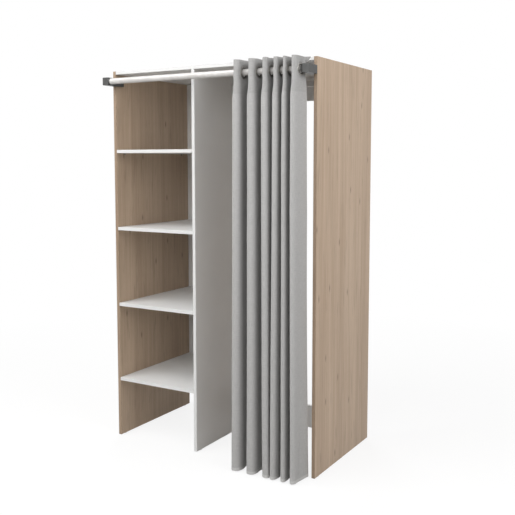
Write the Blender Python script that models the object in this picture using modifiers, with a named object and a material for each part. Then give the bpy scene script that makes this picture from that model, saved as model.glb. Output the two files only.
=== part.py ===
"""Curtain wardrobe: a column of shelves beside an open-backed hanging space, held
between two side panels, with an eyelet curtain on a rod across the front.

Metres. +Z is up, +X is to the right seen from the front, and the front faces -Y.
The origin lies on the floor, at the centre of the bounding box's base.
"""
import math

import bmesh
import bpy
from mathutils import Matrix, Vector

NAME = "curtain_wardrobe"

# Cabinet
WIDTH = 1.120
HEIGHT = 1.840
SIDE_DEPTH = 0.600
BOARD = 0.016
EDGE_SOFT = 0.0006
SHELF_BAY_WIDTH = 0.455
SHELF_PITCH = 0.384
SHELF_COUNT = 4
FIXED_SHELVES = (2, 4)
BACK_SHEET = 0.003
BACK_SHEET_INSET = 0.002
BACK_RAIL_HEIGHT = 0.118

# Solids that touch on the real object keep this clearance
GAP = 0.0003

# Curtain rod and its brackets
ROD_DIAMETER = 0.028
ROD_WALL = 0.0012
ROD_AHEAD = 0.062
ROD_BELOW_TOP = 0.055
ROD_INSERT = 0.020
BRACKET_WIDTH = 0.036
BRACKET_HEIGHT = 0.036
BRACKET_AHEAD = 0.080
BRACKET_TONGUE = 0.042
BRACKET_CORNER = 0.006
BRACKET_SOFT = 0.0015

# Eyelets
EYELET_COUNT = 12
EYELET_DIAMETER = 0.053
EYELET_BORE = 0.040
EYELET_LIP = 0.0024
EYELET_WALL = 0.0015

# Curtain, gathered at the right
CLOTH = 0.0016
HEADING = 0.051
HEADING_BAND = 0.146
CURTAIN_HEM = 0.006
FOLD_DEPTH = 0.098
FOLD_LEAN = math.radians(5)
FOLD_SEAM = 0.0006
LAST_EYELET_FROM_SIDE = 0.047
GATHERED_WIDTH = 0.315

# Clothes rail: an oval tube
RAIL_TALL = 0.030
RAIL_WIDE = 0.015
RAIL_WALL = 0.0012
RAIL_BELOW_TOP = 0.060
RAIL_FROM_FRONT = 0.330
SOCKET_DEPTH = 0.012
SOCKET_FLOOR = 0.003
SOCKET_WALL = 0.003

# Fittings
DOWEL_DIAMETER = 0.008
DOWEL_IN_FACE = 0.010
CAM_DIAMETER = 0.015
CAM_DEPTH = 0.0125
CAM_SETBACK = 0.034
BOLT_DIAMETER = 0.006
BOLT_IN_FACE = 0.011
ROOT = 0.001
PIN_DIAMETER = 0.005
PIN_SEAT = 0.006
PIN_COLLAR = 0.009
PIN_COLLAR_THICK = 0.0012
PIN_REACH = 0.008
PIN_IN_FACE = 0.008
SCREW_HEAD = 0.007
SCREW_HEAD_TALL = 0.0022
SCREW_SHANK = 0.0035
SCREW_IN_FACE = 0.012
BRACKET_SCREW_SINK = 0.008
PEG_DIAMETER = 0.005
PEG_IN_FACE = 0.010
GLIDE_DIAMETER = 0.014
GLIDE_HEIGHT = 0.003
GLIDE_NAIL = 0.0024
GLIDE_NAIL_LENGTH = 0.012
FIXING_FROM_EDGE = 0.060
DOWEL_FROM_CAM = 0.064
RAIL_FIXING_SPREAD = 0.032
GLIDE_FROM_EDGE = 0.040

# Facets of round pieces, in multiples of four so that a pin and its hole line up
FINE_STEPS = 24
RING_STEPS = 16
CAM_STEPS = 12
SMALL_STEPS = 8
CORNER_STEPS = 4
SMOOTH_ANGLE = math.radians(40)
CUT_OVERRUN = 0.002
MERGE = 0.00001

# Where the cabinet's planes lie, with the whole thing's depth centred on the origin
FRONT_REACH = ROD_AHEAD + FOLD_DEPTH / 2 + CLOTH / 2
BACK_REACH = SIDE_DEPTH + GAP + BACK_SHEET
FRONT = (FRONT_REACH - BACK_REACH) / 2
BACK = FRONT + SIDE_DEPTH
LEFT_OUT = -WIDTH / 2
RIGHT_OUT = WIDTH / 2
LEFT_IN = LEFT_OUT + BOARD
RIGHT_IN = RIGHT_OUT - BOARD
PARTITION_LEFT = LEFT_IN + SHELF_BAY_WIDTH
PARTITION_RIGHT = PARTITION_LEFT + BOARD
BASE = GLIDE_HEIGHT + GAP
UNDER_TOP = HEIGHT - BOARD
ROD_Y = FRONT - ROD_AHEAD
ROD_HEIGHT = HEIGHT - ROD_BELOW_TOP
CURTAIN_TOP = ROD_HEIGHT + HEADING
LAST_EYELET = RIGHT_OUT - LAST_EYELET_FROM_SIDE
LOWEST_SHELF_TOP = HEIGHT - SHELF_COUNT * SHELF_PITCH

X_AXIS = Vector((1, 0, 0))
Y_AXIS = Vector((0, 1, 0))
Z_AXIS = Vector((0, 0, 1))


# Scene and materials
def clear_scene():
    for thing in list(bpy.data.objects):
        bpy.data.objects.remove(thing, do_unlink=True)


def new_collection(name):
    made = bpy.data.collections.new(name)
    bpy.context.scene.collection.children.link(made)
    return made


def material(name, colour, roughness, metallic=0.0):
    made = bpy.data.materials.new(name)
    made.use_nodes = True
    made.diffuse_color = (*colour, 1)
    shader = made.node_tree.nodes["Principled BSDF"]
    shader.inputs["Base Color"].default_value = (*colour, 1)
    shader.inputs["Roughness"].default_value = roughness
    shader.inputs["Metallic"].default_value = metallic
    return made


clear_scene()
PARTS = new_collection(NAME)
CUTTERS = new_collection("cutters")
OAK = material("oak_laminate", (0.40, 0.31, 0.22), 0.55)
WHITE = material("white_laminate", (0.82, 0.82, 0.81), 0.45)
WHITE_SHEET = material("white_sheet", (0.78, 0.78, 0.77), 0.60)
WHITE_LACQUER = material("white_lacquer", (0.85, 0.85, 0.84), 0.25)
GREY_PLASTIC = material("grey_plastic", (0.14, 0.14, 0.14), 0.50)
DARK_METAL = material("dark_metal", (0.06, 0.06, 0.06), 0.30, 1.0)
CLOTH_GREY = material("grey_cloth", (0.50, 0.50, 0.49), 0.90)
NICKEL = material("nickel", (0.66, 0.65, 0.62), 0.28, 1.0)
STEEL = material("steel", (0.55, 0.55, 0.55), 0.35, 1.0)
WHITE_PLASTIC = material("white_plastic", (0.80, 0.80, 0.78), 0.45)


# Building blocks
def add(name, mesh, surface, parent=None, location=(0, 0, 0)):
    """An object of the wardrobe made from a mesh."""
    made = bpy.data.objects.new(name, mesh)
    mesh.materials.clear()
    mesh.materials.append(surface)
    PARTS.objects.link(made)
    made.parent = parent
    made.location = location
    return made


def empty(name, location, parent=None):
    made = bpy.data.objects.new(name, None)
    PARTS.objects.link(made)
    made.parent = parent
    made.location = location
    return made


def smooth(mesh):
    mesh.shade_smooth()
    mesh.set_sharp_from_angle(angle=SMOOTH_ANGLE)
    return mesh


def mesh_from(shape, name):
    made = bpy.data.meshes.new(name)
    shape.to_mesh(made)
    shape.free()
    return made


def evaluated_mesh(thing, name):
    """The mesh of a finished curve or modifier stack, with its loose caps welded."""
    graph = bpy.context.evaluated_depsgraph_get()
    raw = bpy.data.meshes.new_from_object(thing.evaluated_get(graph))
    shape = bmesh.new()
    shape.from_mesh(raw)
    bmesh.ops.remove_doubles(shape, verts=shape.verts, dist=MERGE)
    raw.name = name
    shape.to_mesh(raw)
    shape.free()
    bpy.data.objects.remove(thing, do_unlink=True)
    return raw


def turned(name, profile, steps, closed=False):
    """A profile of (radius, height) points turned about Z, outer side from top to bottom."""
    lines = [(i, i + 1) for i in range(len(profile) - 1)]
    if closed:
        lines.append((len(profile) - 1, 0))
    mesh = bpy.data.meshes.new(name)
    mesh.from_pydata([(radius, 0, height) for radius, height in profile], lines, [])
    thing = bpy.data.objects.new(name, mesh)
    PARTS.objects.link(thing)
    screw = thing.modifiers.new("turn", "SCREW")
    screw.steps = screw.render_steps = steps
    screw.use_merge_vertices = True
    screw.merge_threshold = MERGE
    bpy.context.view_layer.update()
    return smooth(evaluated_mesh(thing, name))


def cylinder(radius, top, bottom):
    """The profile of a solid cylinder, for turning."""
    return [(0, top), (radius, top), (radius, bottom), (0, bottom)]


def rounded(corners):
    """Outline points from (x, y, radius) corners, each radius drawn as an arc."""
    points = []
    for i, (x, y, radius) in enumerate(corners):
        here = Vector((x, y))
        back = (Vector(corners[i - 1][:2]) - here).normalized()
        ahead = (Vector(corners[(i + 1) % len(corners)][:2]) - here).normalized()
        if not radius:
            points.append(here)
            continue
        half = back.angle(ahead) / 2
        centre = here + (back + ahead).normalized() * (radius / math.sin(half))
        first = here + back * (radius / math.tan(half)) - centre
        turn = math.pi - 2 * half
        side = 1 if back.x * ahead.y - back.y * ahead.x < 0 else -1
        for step in range(CORNER_STEPS + 1):
            angle = side * turn * step / CORNER_STEPS
            points.append(centre + Matrix.Rotation(angle, 2) @ first)
    return points


def oval(tall, wide):
    """A stadium outline, tall along Y."""
    radius = wide / 2
    straight = tall / 2 - radius
    points = []
    for end in (1, -1):
        for step in range(2 * CORNER_STEPS + 1):
            angle = math.pi * step / (2 * CORNER_STEPS)
            across, up = radius * math.cos(angle), straight + radius * math.sin(angle)
            points.append(Vector((end * across, end * up)))
    return points


def extruded(name, outlines, thickness):
    """Flat outlines in XY, the second one a hole, given a thickness centred on Z."""
    curve = bpy.data.curves.new(name, "CURVE")
    curve.dimensions = "2D"
    curve.fill_mode = "BOTH"
    curve.extrude = thickness / 2
    for outline in outlines:
        spline = curve.splines.new("POLY")
        spline.points.add(len(outline) - 1)
        for point, place in zip(spline.points, outline):
            point.co = (place.x, place.y, 0, 1)
        spline.use_cyclic_u = True
    thing = bpy.data.objects.new(name, curve)
    PARTS.objects.link(thing)
    bpy.context.view_layer.update()
    return smooth(evaluated_mesh(thing, name))


def along(origin, axis, upright=None):
    """A placement whose local Z lies along an axis; upright is its local Y."""
    z = Vector(axis).normalized()
    lying = abs(z.z) < abs(z.x) + abs(z.y)
    y = Vector(upright) if upright is not None else (Z_AXIS if lying else Y_AXIS)
    x = y.cross(z).normalized()
    frame = Matrix((x, z.cross(x), z)).transposed().to_4x4()
    frame.translation = origin
    return frame


def place_copy(name, mesh, place, surface):
    """One object of a repeated piece, at a placement."""
    made = add(name, mesh, surface)
    made.matrix_world = place
    return made


def soften(thing, width, segments=1):
    bevel = thing.modifiers.new("soft_edges", "BEVEL")
    bevel.width = width
    bevel.segments = segments
    bevel.limit_method = "ANGLE"
    bevel.angle_limit = SMOOTH_ANGLE


def boolean(thing, mesh, operation, parent=None):
    """Takes a mesh's volume out of an object, or joins it on."""
    tool = bpy.data.objects.new(f"{operation.lower()}_{thing.name}", mesh)
    CUTTERS.objects.link(tool)
    tool.parent = parent
    tool.hide_render = True
    tool.display_type = "WIRE"
    change = thing.modifiers.new(operation.lower(), "BOOLEAN")
    change.operation = operation
    change.solver = "EXACT"
    change.object = tool


def cut(thing, mesh, parent=None):
    boolean(thing, mesh, "DIFFERENCE", parent)


# Boards: each one collects the bores, pockets and fittings that its joints need
BOARDS = {}
BORES = {}
POCKETS = {}
FITTINGS = {}


def board(name, low, high, surface=WHITE, edge=EDGE_SOFT):
    shape = bmesh.new()
    bmesh.ops.create_cube(shape, size=1)
    low, high = Vector(low), Vector(high)
    bmesh.ops.scale(shape, vec=high - low, verts=shape.verts)
    bmesh.ops.translate(shape, vec=(high + low) / 2, verts=shape.verts)
    made = add(name, mesh_from(shape, name), surface)
    soften(made, edge)
    BOARDS[name] = made
    for store in (BORES, POCKETS, FITTINGS):
        store[name] = bmesh.new()


def drill(shape, place, radius, depth, steps=SMALL_STEPS):
    """A hole down local Z from just outside the face at the place's origin."""
    middle = Matrix.Translation((0, 0, (depth - CUT_OVERRUN) / 2))
    bmesh.ops.create_cone(
        shape, cap_ends=True, segments=steps, radius1=radius, radius2=radius,
        depth=depth + CUT_OVERRUN, matrix=place @ middle)


def collect(shape, mesh, place):
    """Adds a copy of a mesh at a placement to a shape."""
    copy = mesh.copy()
    copy.transform(place)
    shape.from_mesh(copy)
    bpy.data.meshes.remove(copy)


def finish_boards():
    """Drills each board, then joins on the fittings that are rooted in it."""
    for store, operation in ((BORES, "DIFFERENCE"), (POCKETS, "DIFFERENCE"), (FITTINGS, "UNION")):
        for name, shape in store.items():
            if len(shape.verts):
                boolean(BOARDS[name], smooth(mesh_from(shape, name)), operation)
            else:
                shape.free()


def shelf_top(number):
    return HEIGHT - number * SHELF_PITCH


def shelf_name(number):
    return "bottom_shelf" if number == SHELF_COUNT else f"shelf_{number}"


def sides():
    board("left_side", (LEFT_OUT, FRONT, BASE), (LEFT_IN, BACK, HEIGHT), OAK)
    board("right_side", (RIGHT_IN, FRONT, BASE), (RIGHT_OUT, BACK, HEIGHT), OAK)


def inner_boards():
    board("partition", (PARTITION_LEFT, FRONT, BASE), (PARTITION_RIGHT, BACK, UNDER_TOP - GAP))
    board("top_panel", (LEFT_IN + GAP, FRONT, UNDER_TOP), (RIGHT_IN - GAP, BACK, HEIGHT))
    for number in range(1, SHELF_COUNT + 1):
        top = shelf_top(number)
        low, high = (LEFT_IN + GAP, FRONT, top - BOARD), (PARTITION_LEFT - GAP, BACK, top)
        board(shelf_name(number), low, high)


def back_pieces():
    board(
        "back_panel",
        (LEFT_OUT + BACK_SHEET_INSET, BACK + GAP, LOWEST_SHELF_TOP - BOARD + BACK_SHEET_INSET),
        (PARTITION_RIGHT - BACK_SHEET_INSET, BACK + GAP + BACK_SHEET, HEIGHT - BACK_SHEET_INSET),
        WHITE_SHEET, EDGE_SOFT / 2)
    rail_top = UNDER_TOP - GAP
    left, right = PARTITION_RIGHT + GAP, RIGHT_IN - GAP
    board("upper_back_rail", (left, BACK - BOARD, rail_top - BACK_RAIL_HEIGHT), (right, BACK, rail_top))
    board("lower_back_rail", (left, BACK - BOARD, BASE), (right, BACK, BASE + BACK_RAIL_HEIGHT))


# Joints between boards: the end of one meets the face of another. The fittings are rooted
# in the board whose end they hold, and reach into bores in its mate
def fitting_meshes():
    """A cam, flush with its board's face at local Z 0, and a bolt and a dowel that stand
    out of the board's end along local Z."""
    cam = turned("cam", cylinder(CAM_DIAMETER / 2, 0, -CAM_DEPTH - ROOT), CAM_STEPS)
    bolt = turned("bolt", cylinder(BOLT_DIAMETER / 2, BOLT_IN_FACE, -ROOT), SMALL_STEPS)
    dowel = turned("dowel", cylinder(DOWEL_DIAMETER / 2, DOWEL_IN_FACE, -ROOT), SMALL_STEPS)
    return cam, bolt, dowel


def cam_joint(name, mate, end, axis, face, cam, bolt):
    """A cam in the named board draws on a bolt in its mate. end is the centre of the
    board's end, axis points into the mate and the cam opens on face."""
    collect(FITTINGS[name], bolt, along(end, axis))
    drill(BORES[mate], along(end + axis * GAP, axis), BOLT_DIAMETER / 2 + GAP, BOLT_IN_FACE)
    mouth = end - axis * CAM_SETBACK + face * (BOARD / 2)
    drill(POCKETS[name], along(mouth, -face, axis), CAM_DIAMETER / 2 + GAP, CAM_DEPTH, CAM_STEPS)
    collect(FITTINGS[name], cam, along(mouth, face, axis))


def dowel_joint(name, mate, end, axis, dowel):
    collect(FITTINGS[name], dowel, along(end, axis))
    drill(BORES[mate], along(end + axis * GAP, axis), DOWEL_DIAMETER / 2 + GAP, DOWEL_IN_FACE)


def joinery():
    """Cams at every fixed joint, two across the depth, with dowels beside them."""
    cam, bolt, dowel = fitting_meshes()
    near, far = FRONT + FIXING_FROM_EDGE, BACK - FIXING_FROM_EDGE
    rows = ((near, near + DOWEL_FROM_CAM), (far, far - DOWEL_FROM_CAM))
    top_middle = UNDER_TOP + BOARD / 2
    ends = [
        ("top_panel", "left_side", LEFT_IN + GAP, top_middle, -X_AXIS, Z_AXIS),
        ("top_panel", "right_side", RIGHT_IN - GAP, top_middle, X_AXIS, Z_AXIS),
        ("partition", "top_panel", PARTITION_LEFT + BOARD / 2, UNDER_TOP - GAP, Z_AXIS, -X_AXIS)]
    for number in FIXED_SHELVES:
        middle = shelf_top(number) - BOARD / 2
        ends.append((shelf_name(number), "left_side", LEFT_IN + GAP, middle, -X_AXIS, -Z_AXIS))
        ends.append((shelf_name(number), "partition", PARTITION_LEFT - GAP, middle, X_AXIS, -Z_AXIS))
    for name, mate, x, z, axis, face in ends:
        for cam_y, dowel_y in rows:
            cam_joint(name, mate, Vector((x, cam_y, z)), axis, face, cam, bolt)
            dowel_joint(name, mate, Vector((x, dowel_y, z)), axis, dowel)
    upper = UNDER_TOP - GAP - BACK_RAIL_HEIGHT / 2
    lower = BASE + BACK_RAIL_HEIGHT / 2
    rail_ends = (
        ("partition", PARTITION_RIGHT + GAP, -X_AXIS), ("right_side", RIGHT_IN - GAP, X_AXIS))
    for name, height in (("upper_back_rail", upper), ("lower_back_rail", lower)):
        for mate, x, axis in rail_ends:
            end = Vector((x, BACK - BOARD / 2, height))
            cam_joint(name, mate, end + Z_AXIS * RAIL_FIXING_SPREAD, axis, Y_AXIS, cam, bolt)
            dowel_joint(name, mate, end - Z_AXIS * RAIL_FIXING_SPREAD, axis, dowel)


def shelf_pins():
    """Four pins under each loose shelf, pushed into the left side and the partition."""
    seat, collar, shank = PIN_SEAT / 2, PIN_COLLAR / 2, PIN_DIAMETER / 2
    rim = GAP + PIN_COLLAR_THICK
    profile = [
        (0, PIN_REACH), (seat, PIN_REACH), (seat, rim), (collar, rim), (collar, GAP), (shank, GAP),
        (shank, -PIN_IN_FACE), (0, -PIN_IN_FACE)]
    pin = turned("shelf_pin", profile, SMALL_STEPS)
    rows = (("front", FRONT + FIXING_FROM_EDGE), ("back", BACK - FIXING_FROM_EDGE))
    faces = (("left", "left_side", LEFT_IN, X_AXIS), ("right", "partition", PARTITION_LEFT, -X_AXIS))
    for number in range(1, SHELF_COUNT + 1):
        if number in FIXED_SHELVES:
            continue
        height = shelf_top(number) - BOARD - GAP - collar
        for row, y in rows:
            for side, name, x, axis in faces:
                place_copy(f"shelf_{number}_pin_{side}_{row}", pin, along((x, y, height), axis), NICKEL)
                drill(BORES[name], along((x, y, height), -axis), shank + GAP, PIN_IN_FACE + GAP)


def floor_glides():
    """Nail-in plastic glides under the two sides and the partition."""
    pad, nail = GLIDE_DIAMETER / 2, GLIDE_NAIL / 2
    soft = GLIDE_HEIGHT / 3
    tip = GLIDE_HEIGHT + GLIDE_NAIL_LENGTH
    profile = [
        (0, tip), (nail, tip - nail), (nail, GLIDE_HEIGHT), (pad, GLIDE_HEIGHT), (pad, soft),
        (pad - soft, 0), (0, 0)]
    glide = turned("floor_glide", profile, SMALL_STEPS)
    uprights = (
        ("left", "left_side", LEFT_OUT + BOARD / 2), ("middle", "partition", PARTITION_LEFT + BOARD / 2),
        ("right", "right_side", RIGHT_OUT - BOARD / 2))
    for side, name, x in uprights:
        for row, y in (("front", FRONT + GLIDE_FROM_EDGE), ("back", BACK - GLIDE_FROM_EDGE)):
            place_copy(f"floor_glide_{side}_{row}", glide, Matrix.Translation((x, y, 0)), WHITE_PLASTIC)
            drill(BORES[name], along((x, y, BASE), Z_AXIS), nail + GAP, GLIDE_NAIL_LENGTH + GAP)


# Curtain rod
BRACKET_SCREW_SHARES = (("front", 0.25), ("back", 0.70))


def screw_mesh(length):
    """A countersunk screw, its head's top at local Z 0 and its tip downwards."""
    head, shank = SCREW_HEAD / 2, SCREW_SHANK / 2
    profile = [(0, 0), (head, 0), (shank, -SCREW_HEAD_TALL), (shank, shank - length), (0, -length)]
    return turned("screw", profile, SMALL_STEPS)


def screw_hole(through):
    """What a countersunk screw's hole takes out, the head's top at local Z 0."""
    head, shank = SCREW_HEAD / 2 + GAP, SCREW_SHANK / 2 + GAP
    profile = [
        (0, through), (head, through), (head, 0), (shank, -SCREW_HEAD_TALL), (shank, -through),
        (0, -through)]
    return turned("screw_hole", profile, SMALL_STEPS)


def bracket_outline(side):
    """The bracket seen from above: a block ahead of the side panel's front edge and a
    tongue along its inner face. side is 1 at the left and -1 at the right."""
    inner = BOARD + GAP
    corners = (
        (0, -GAP, 0), (0, -BRACKET_AHEAD, BRACKET_CORNER), (BRACKET_WIDTH, -BRACKET_AHEAD, BRACKET_CORNER),
        (BRACKET_WIDTH, BRACKET_TONGUE, BRACKET_CORNER), (inner, BRACKET_TONGUE, 0), (inner, -GAP, 0))
    return rounded([(side * x, y, radius) for x, y, radius in corners])


def rod_bracket(side_name, edge, side):
    """A moulded bracket with a blind socket for the rod, and its two sunk screws."""
    name = f"rod_bracket_{side_name}"
    mesh = extruded(name, [bracket_outline(side)], BRACKET_HEIGHT)
    made = add(name, mesh, GREY_PLASTIC, location=(edge, FRONT, ROD_HEIGHT))
    soften(made, BRACKET_SOFT, 2)
    inner = side * BRACKET_WIDTH
    axis = side * X_AXIS
    socket = bmesh.new()
    mouth = along((inner, -ROD_AHEAD, 0), -axis)
    drill(socket, mouth, ROD_DIAMETER / 2 + GAP, ROD_INSERT + GAP, FINE_STEPS)
    cut(made, mesh_from(socket, "socket"), made)
    screw = screw_mesh(BRACKET_WIDTH - BOARD - BRACKET_SCREW_SINK + SCREW_IN_FACE)
    hole = screw_hole(BRACKET_WIDTH - BOARD)
    holes = bmesh.new()
    for row, back_share in BRACKET_SCREW_SHARES:
        head = Vector((inner - side * BRACKET_SCREW_SINK, BRACKET_TONGUE * back_share, 0))
        collect(holes, hole, along(head, axis))
        place = along(head + made.location, axis)
        place_copy(f"bracket_screw_{side_name}_{row}", screw, place, STEEL)
        face = along((edge + side * BOARD, FRONT + head.y, ROD_HEIGHT), -axis)
        drill(BORES[f"{side_name}_side"], face, SCREW_SHANK / 2 + GAP, SCREW_IN_FACE + GAP)
    cut(made, mesh_from(holes, "screw_holes"), made)


def curtain_rod():
    rod_bracket("left", LEFT_OUT, 1)
    rod_bracket("right", RIGHT_OUT, -1)
    outer = ROD_DIAMETER / 2
    bore = outer - ROD_WALL
    half = WIDTH / 2 - BRACKET_WIDTH + ROD_INSERT
    profile = [(outer, half), (outer, -half), (bore, -half), (bore, half)]
    tube = turned("curtain_rod", profile, FINE_STEPS, closed=True)
    tube.transform(along((0, ROD_Y, ROD_HEIGHT), X_AXIS))
    add("curtain_rod", tube, WHITE_LACQUER)


# Clothes rail
def rail_socket(name, panel, x, axis):
    """An oval cup on a panel's face, pressed into it by two moulded pegs."""
    face = Vector((x, FRONT + RAIL_FROM_FRONT, UNDER_TOP - RAIL_BELOW_TOP))
    mesh = extruded(name, [oval(RAIL_TALL + 2 * SOCKET_WALL, RAIL_WIDE + 2 * SOCKET_WALL)], SOCKET_DEPTH)
    mesh.transform(Matrix.Translation((0, 0, GAP + SOCKET_DEPTH / 2)))
    made = place_copy(name, mesh, along(face, axis), WHITE_PLASTIC)
    pocket = extruded("pocket", [oval(RAIL_TALL + 2 * GAP, RAIL_WIDE + 2 * GAP)], SOCKET_DEPTH)
    pocket.transform(Matrix.Translation((0, 0, GAP + SOCKET_FLOOR + SOCKET_DEPTH / 2)))
    cut(made, pocket, made)
    peg = turned("peg", cylinder(PEG_DIAMETER / 2, GAP + ROOT, -PEG_IN_FACE), SMALL_STEPS)
    pegs = bmesh.new()
    for end in (-1, 1):
        rise = end * (RAIL_TALL - RAIL_WIDE) / 2
        collect(pegs, peg, Matrix.Translation((0, rise, 0)))
        hole = along(face + Z_AXIS * rise, -axis)
        drill(BORES[panel], hole, PEG_DIAMETER / 2 + GAP, PEG_IN_FACE + GAP)
    boolean(made, mesh_from(pegs, "pegs"), "UNION", made)


def clothes_rail():
    rail_socket("rail_socket_left", "partition", PARTITION_RIGHT, X_AXIS)
    rail_socket("rail_socket_right", "right_side", RIGHT_IN, -X_AXIS)
    seat = SOCKET_FLOOR + 2 * GAP
    length = RIGHT_IN - PARTITION_RIGHT - 2 * seat
    inner = oval(RAIL_TALL - 2 * RAIL_WALL, RAIL_WIDE - 2 * RAIL_WALL)
    tube = extruded("clothes_rail", [oval(RAIL_TALL, RAIL_WIDE), inner], length)
    middle = ((RIGHT_IN + PARTITION_RIGHT) / 2, FRONT + RAIL_FROM_FRONT, UNDER_TOP - RAIL_BELOW_TOP)
    tube.transform(along(middle, X_AXIS))
    add("clothes_rail", tube, WHITE_LACQUER)


# Eyelets: how they share out the gathered width, from the leading one to the last
EYELET_PLACE_SHARES = (0, 0.118, 0.238, 0.360, 0.460, 0.558, 0.634, 0.712, 0.775, 0.840, 0.920, 1)
LIP_CROWN_SHARE = 0.40
LIP_SHOULDER_SHARE = 0.55


def eyelet_x(number):
    return LAST_EYELET - (1 - EYELET_PLACE_SHARES[number - 1]) * GATHERED_WIDTH


def lean(number):
    """Odd eyelets sit in the left leg of a fold and even ones in its right leg."""
    return FOLD_LEAN if number % 2 else -FOLD_LEAN


def eyelet_drop():
    """How far an eyelet's centre hangs below the rod's, as it rests on the rod."""
    return EYELET_BORE / 2 * math.cos(math.pi / RING_STEPS) - ROD_DIAMETER / 2 - GAP


def eyelet_mesh():
    """Two domed lips on a barrel, with a slot between them for the cloth."""
    bore, outer = EYELET_BORE / 2, EYELET_DIAMETER / 2
    barrel = bore + EYELET_WALL
    slot = CLOTH / 2 + GAP
    crown = bore + (outer - bore) * LIP_CROWN_SHARE
    shoulder = slot + EYELET_LIP * LIP_SHOULDER_SHARE
    upper = [(bore, shoulder), (crown, slot + EYELET_LIP), (outer, slot), (barrel, slot)]
    lower = [(radius, -height) for radius, height in reversed(upper)]
    return turned("eyelet", upper + lower, RING_STEPS, closed=True)


# Curtain: one cloth, parted between neighbouring eyelets so that each part can slide
HALF_RIDGE_SEGMENTS = 3
HOLE_STEPS = 12
LEG_MARGIN = 0.002
LEG_FLAT = EYELET_DIAMETER / 2 + LEG_MARGIN
BEZIER_PEAK_SHARE = 0.75
ROW_SHARES = (0, 0.35, 0.70, 1)
DRIFT_POWER = 1.4
FRONT_DRIFT_SHARES = (-0.12, -0.05, 0.08, -0.09, 0, 0.05)


def leg_end(number, side):
    """Where a fold's flat leg ends, and its direction there; side is 1 for the front."""
    angle = lean(number) * side
    way = Vector((math.sin(angle), -side * math.cos(angle)))
    return Vector((eyelet_x(number), 0)) + way * LEG_FLAT, way


def ridge_points(number, side):
    """Half of the ridge beside a leg, from the leg's end to the ridge's middle."""
    start, way = leg_end(number, side)
    left_side = (side < 0) == bool(number % 2)
    neighbour = number - 1 if left_side else number + 1
    if not 1 <= neighbour <= EYELET_COUNT:
        return [start, start + way * (FOLD_DEPTH / 2 / math.cos(FOLD_LEAN) - LEG_FLAT)]
    finish, way_back = leg_end(neighbour, side)
    pull = (FOLD_DEPTH / 2 / math.cos(FOLD_LEAN) - LEG_FLAT) / BEZIER_PEAK_SHARE
    control = (start, start + way * pull, finish + way_back * pull, finish)
    points = []
    for step in range(HALF_RIDGE_SEGMENTS + 1):
        t = step / HALF_RIDGE_SEGMENTS / 2
        s = 1 - t
        weights = (s ** 3, 3 * s * s * t, 3 * s * t * t, t ** 3)
        points.append(sum((w * c for w, c in zip(weights, control)), Vector((0, 0))))
    middle, inwards = points.pop(), 1 if left_side else -1
    seam, flat = FOLD_SEAM / 2, (FOLD_SEAM + CLOTH) / 2
    return points + [middle + Vector((inwards * flat, 0)), middle + Vector((inwards * seam, 0))]


def ridge_drift(ridge):
    """How far a ridge wanders sideways at the hem. Odd ridges are at the front."""
    last = len(FRONT_DRIFT_SHARES) - 1
    before = FRONT_DRIFT_SHARES[min(max((ridge - 1) // 2, 0), last)]
    after = FRONT_DRIFT_SHARES[min(max(ridge // 2, 0), last)]
    return FOLD_DEPTH * (before + after) / 2


def share_along(plan):
    """How far along a line each of its points lies, from 0 to 1."""
    walked = [0]
    for here, there in zip(plan, plan[1:]):
        walked.append(walked[-1] + (there - here).length)
    return [length / walked[-1] for length in walked]


def fold_mesh(name, number):
    """A sheet from one ridge's middle over the eyelet's leg to the next ridge's middle,
    in the frame of its own place on the rod."""
    first_side = -1 if number % 2 else 1
    plan = list(reversed(ridge_points(number, first_side))) + ridge_points(number, -first_side)
    across = share_along(plan)
    columns, rows = len(plan) - 1, len(ROW_SHARES)
    shape = bmesh.new()
    bmesh.ops.create_grid(shape, x_segments=columns, y_segments=rows, size=0.5)
    drop = CURTAIN_TOP - HEADING_BAND - CURTAIN_HEM
    for vertex in shape.verts:
        column = round((vertex.co.x + 0.5) * columns)
        row = round((0.5 - vertex.co.y) * rows)
        down = ROW_SHARES[row - 1] if row else 0
        wander = ridge_drift(number - 1) * (1 - across[column]) + ridge_drift(number) * across[column]
        x = plan[column].x - eyelet_x(number) + wander * down ** DRIFT_POWER
        z = HEADING - HEADING_BAND - down * drop if row else HEADING
        vertex.co = (x, plan[column].y, z)
    return smooth(mesh_from(shape, name))


def curtain():
    """Eyelets and folds, each pair on its own place along the rod. The last eyelet
    slides on the rod, and each other one is carried by its neighbour to the right."""
    ring = eyelet_mesh()
    hole_radius = (EYELET_BORE / 2 + EYELET_WALL + GAP) / math.cos(math.pi / HOLE_STEPS)
    carrier = None
    for number in range(EYELET_COUNT, 0, -1):
        here = Vector((eyelet_x(number), ROD_Y, ROD_HEIGHT))
        before = Vector((eyelet_x(number + 1), ROD_Y, ROD_HEIGHT)) if carrier else Vector()
        carrier = empty(f"slide_{number:02d}", here - before, carrier)
        leg_normal = Vector((math.cos(lean(number)), math.sin(lean(number)), 0))
        seat = along((0, 0, -eyelet_drop()), leg_normal)
        turned_ring = ring.copy()
        turned_ring.transform(seat)
        add(f"eyelet_{number:02d}", turned_ring, DARK_METAL, carrier)
        name = f"curtain_fold_{number:02d}"
        fold = add(name, fold_mesh(name, number), CLOTH_GREY, carrier)
        thicken = fold.modifiers.new("thickness", "SOLIDIFY")
        thicken.thickness = CLOTH
        thicken.offset = 0
        thicken.use_even_offset = True
        hole = turned("hole", cylinder(hole_radius, CUT_OVERRUN, -CUT_OVERRUN), HOLE_STEPS)
        hole.transform(seat)
        cut(fold, hole, carrier)


sides()
inner_boards()
back_pieces()
joinery()
shelf_pins()
floor_glides()
curtain_rod()
clothes_rail()
finish_boards()
curtain()
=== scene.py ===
"""The looks of a curtain wardrobe: its boards, fittings, rod and eyelet curtain."""
import math

import bmesh
import bpy
from mathutils import Matrix, Vector, noise


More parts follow.
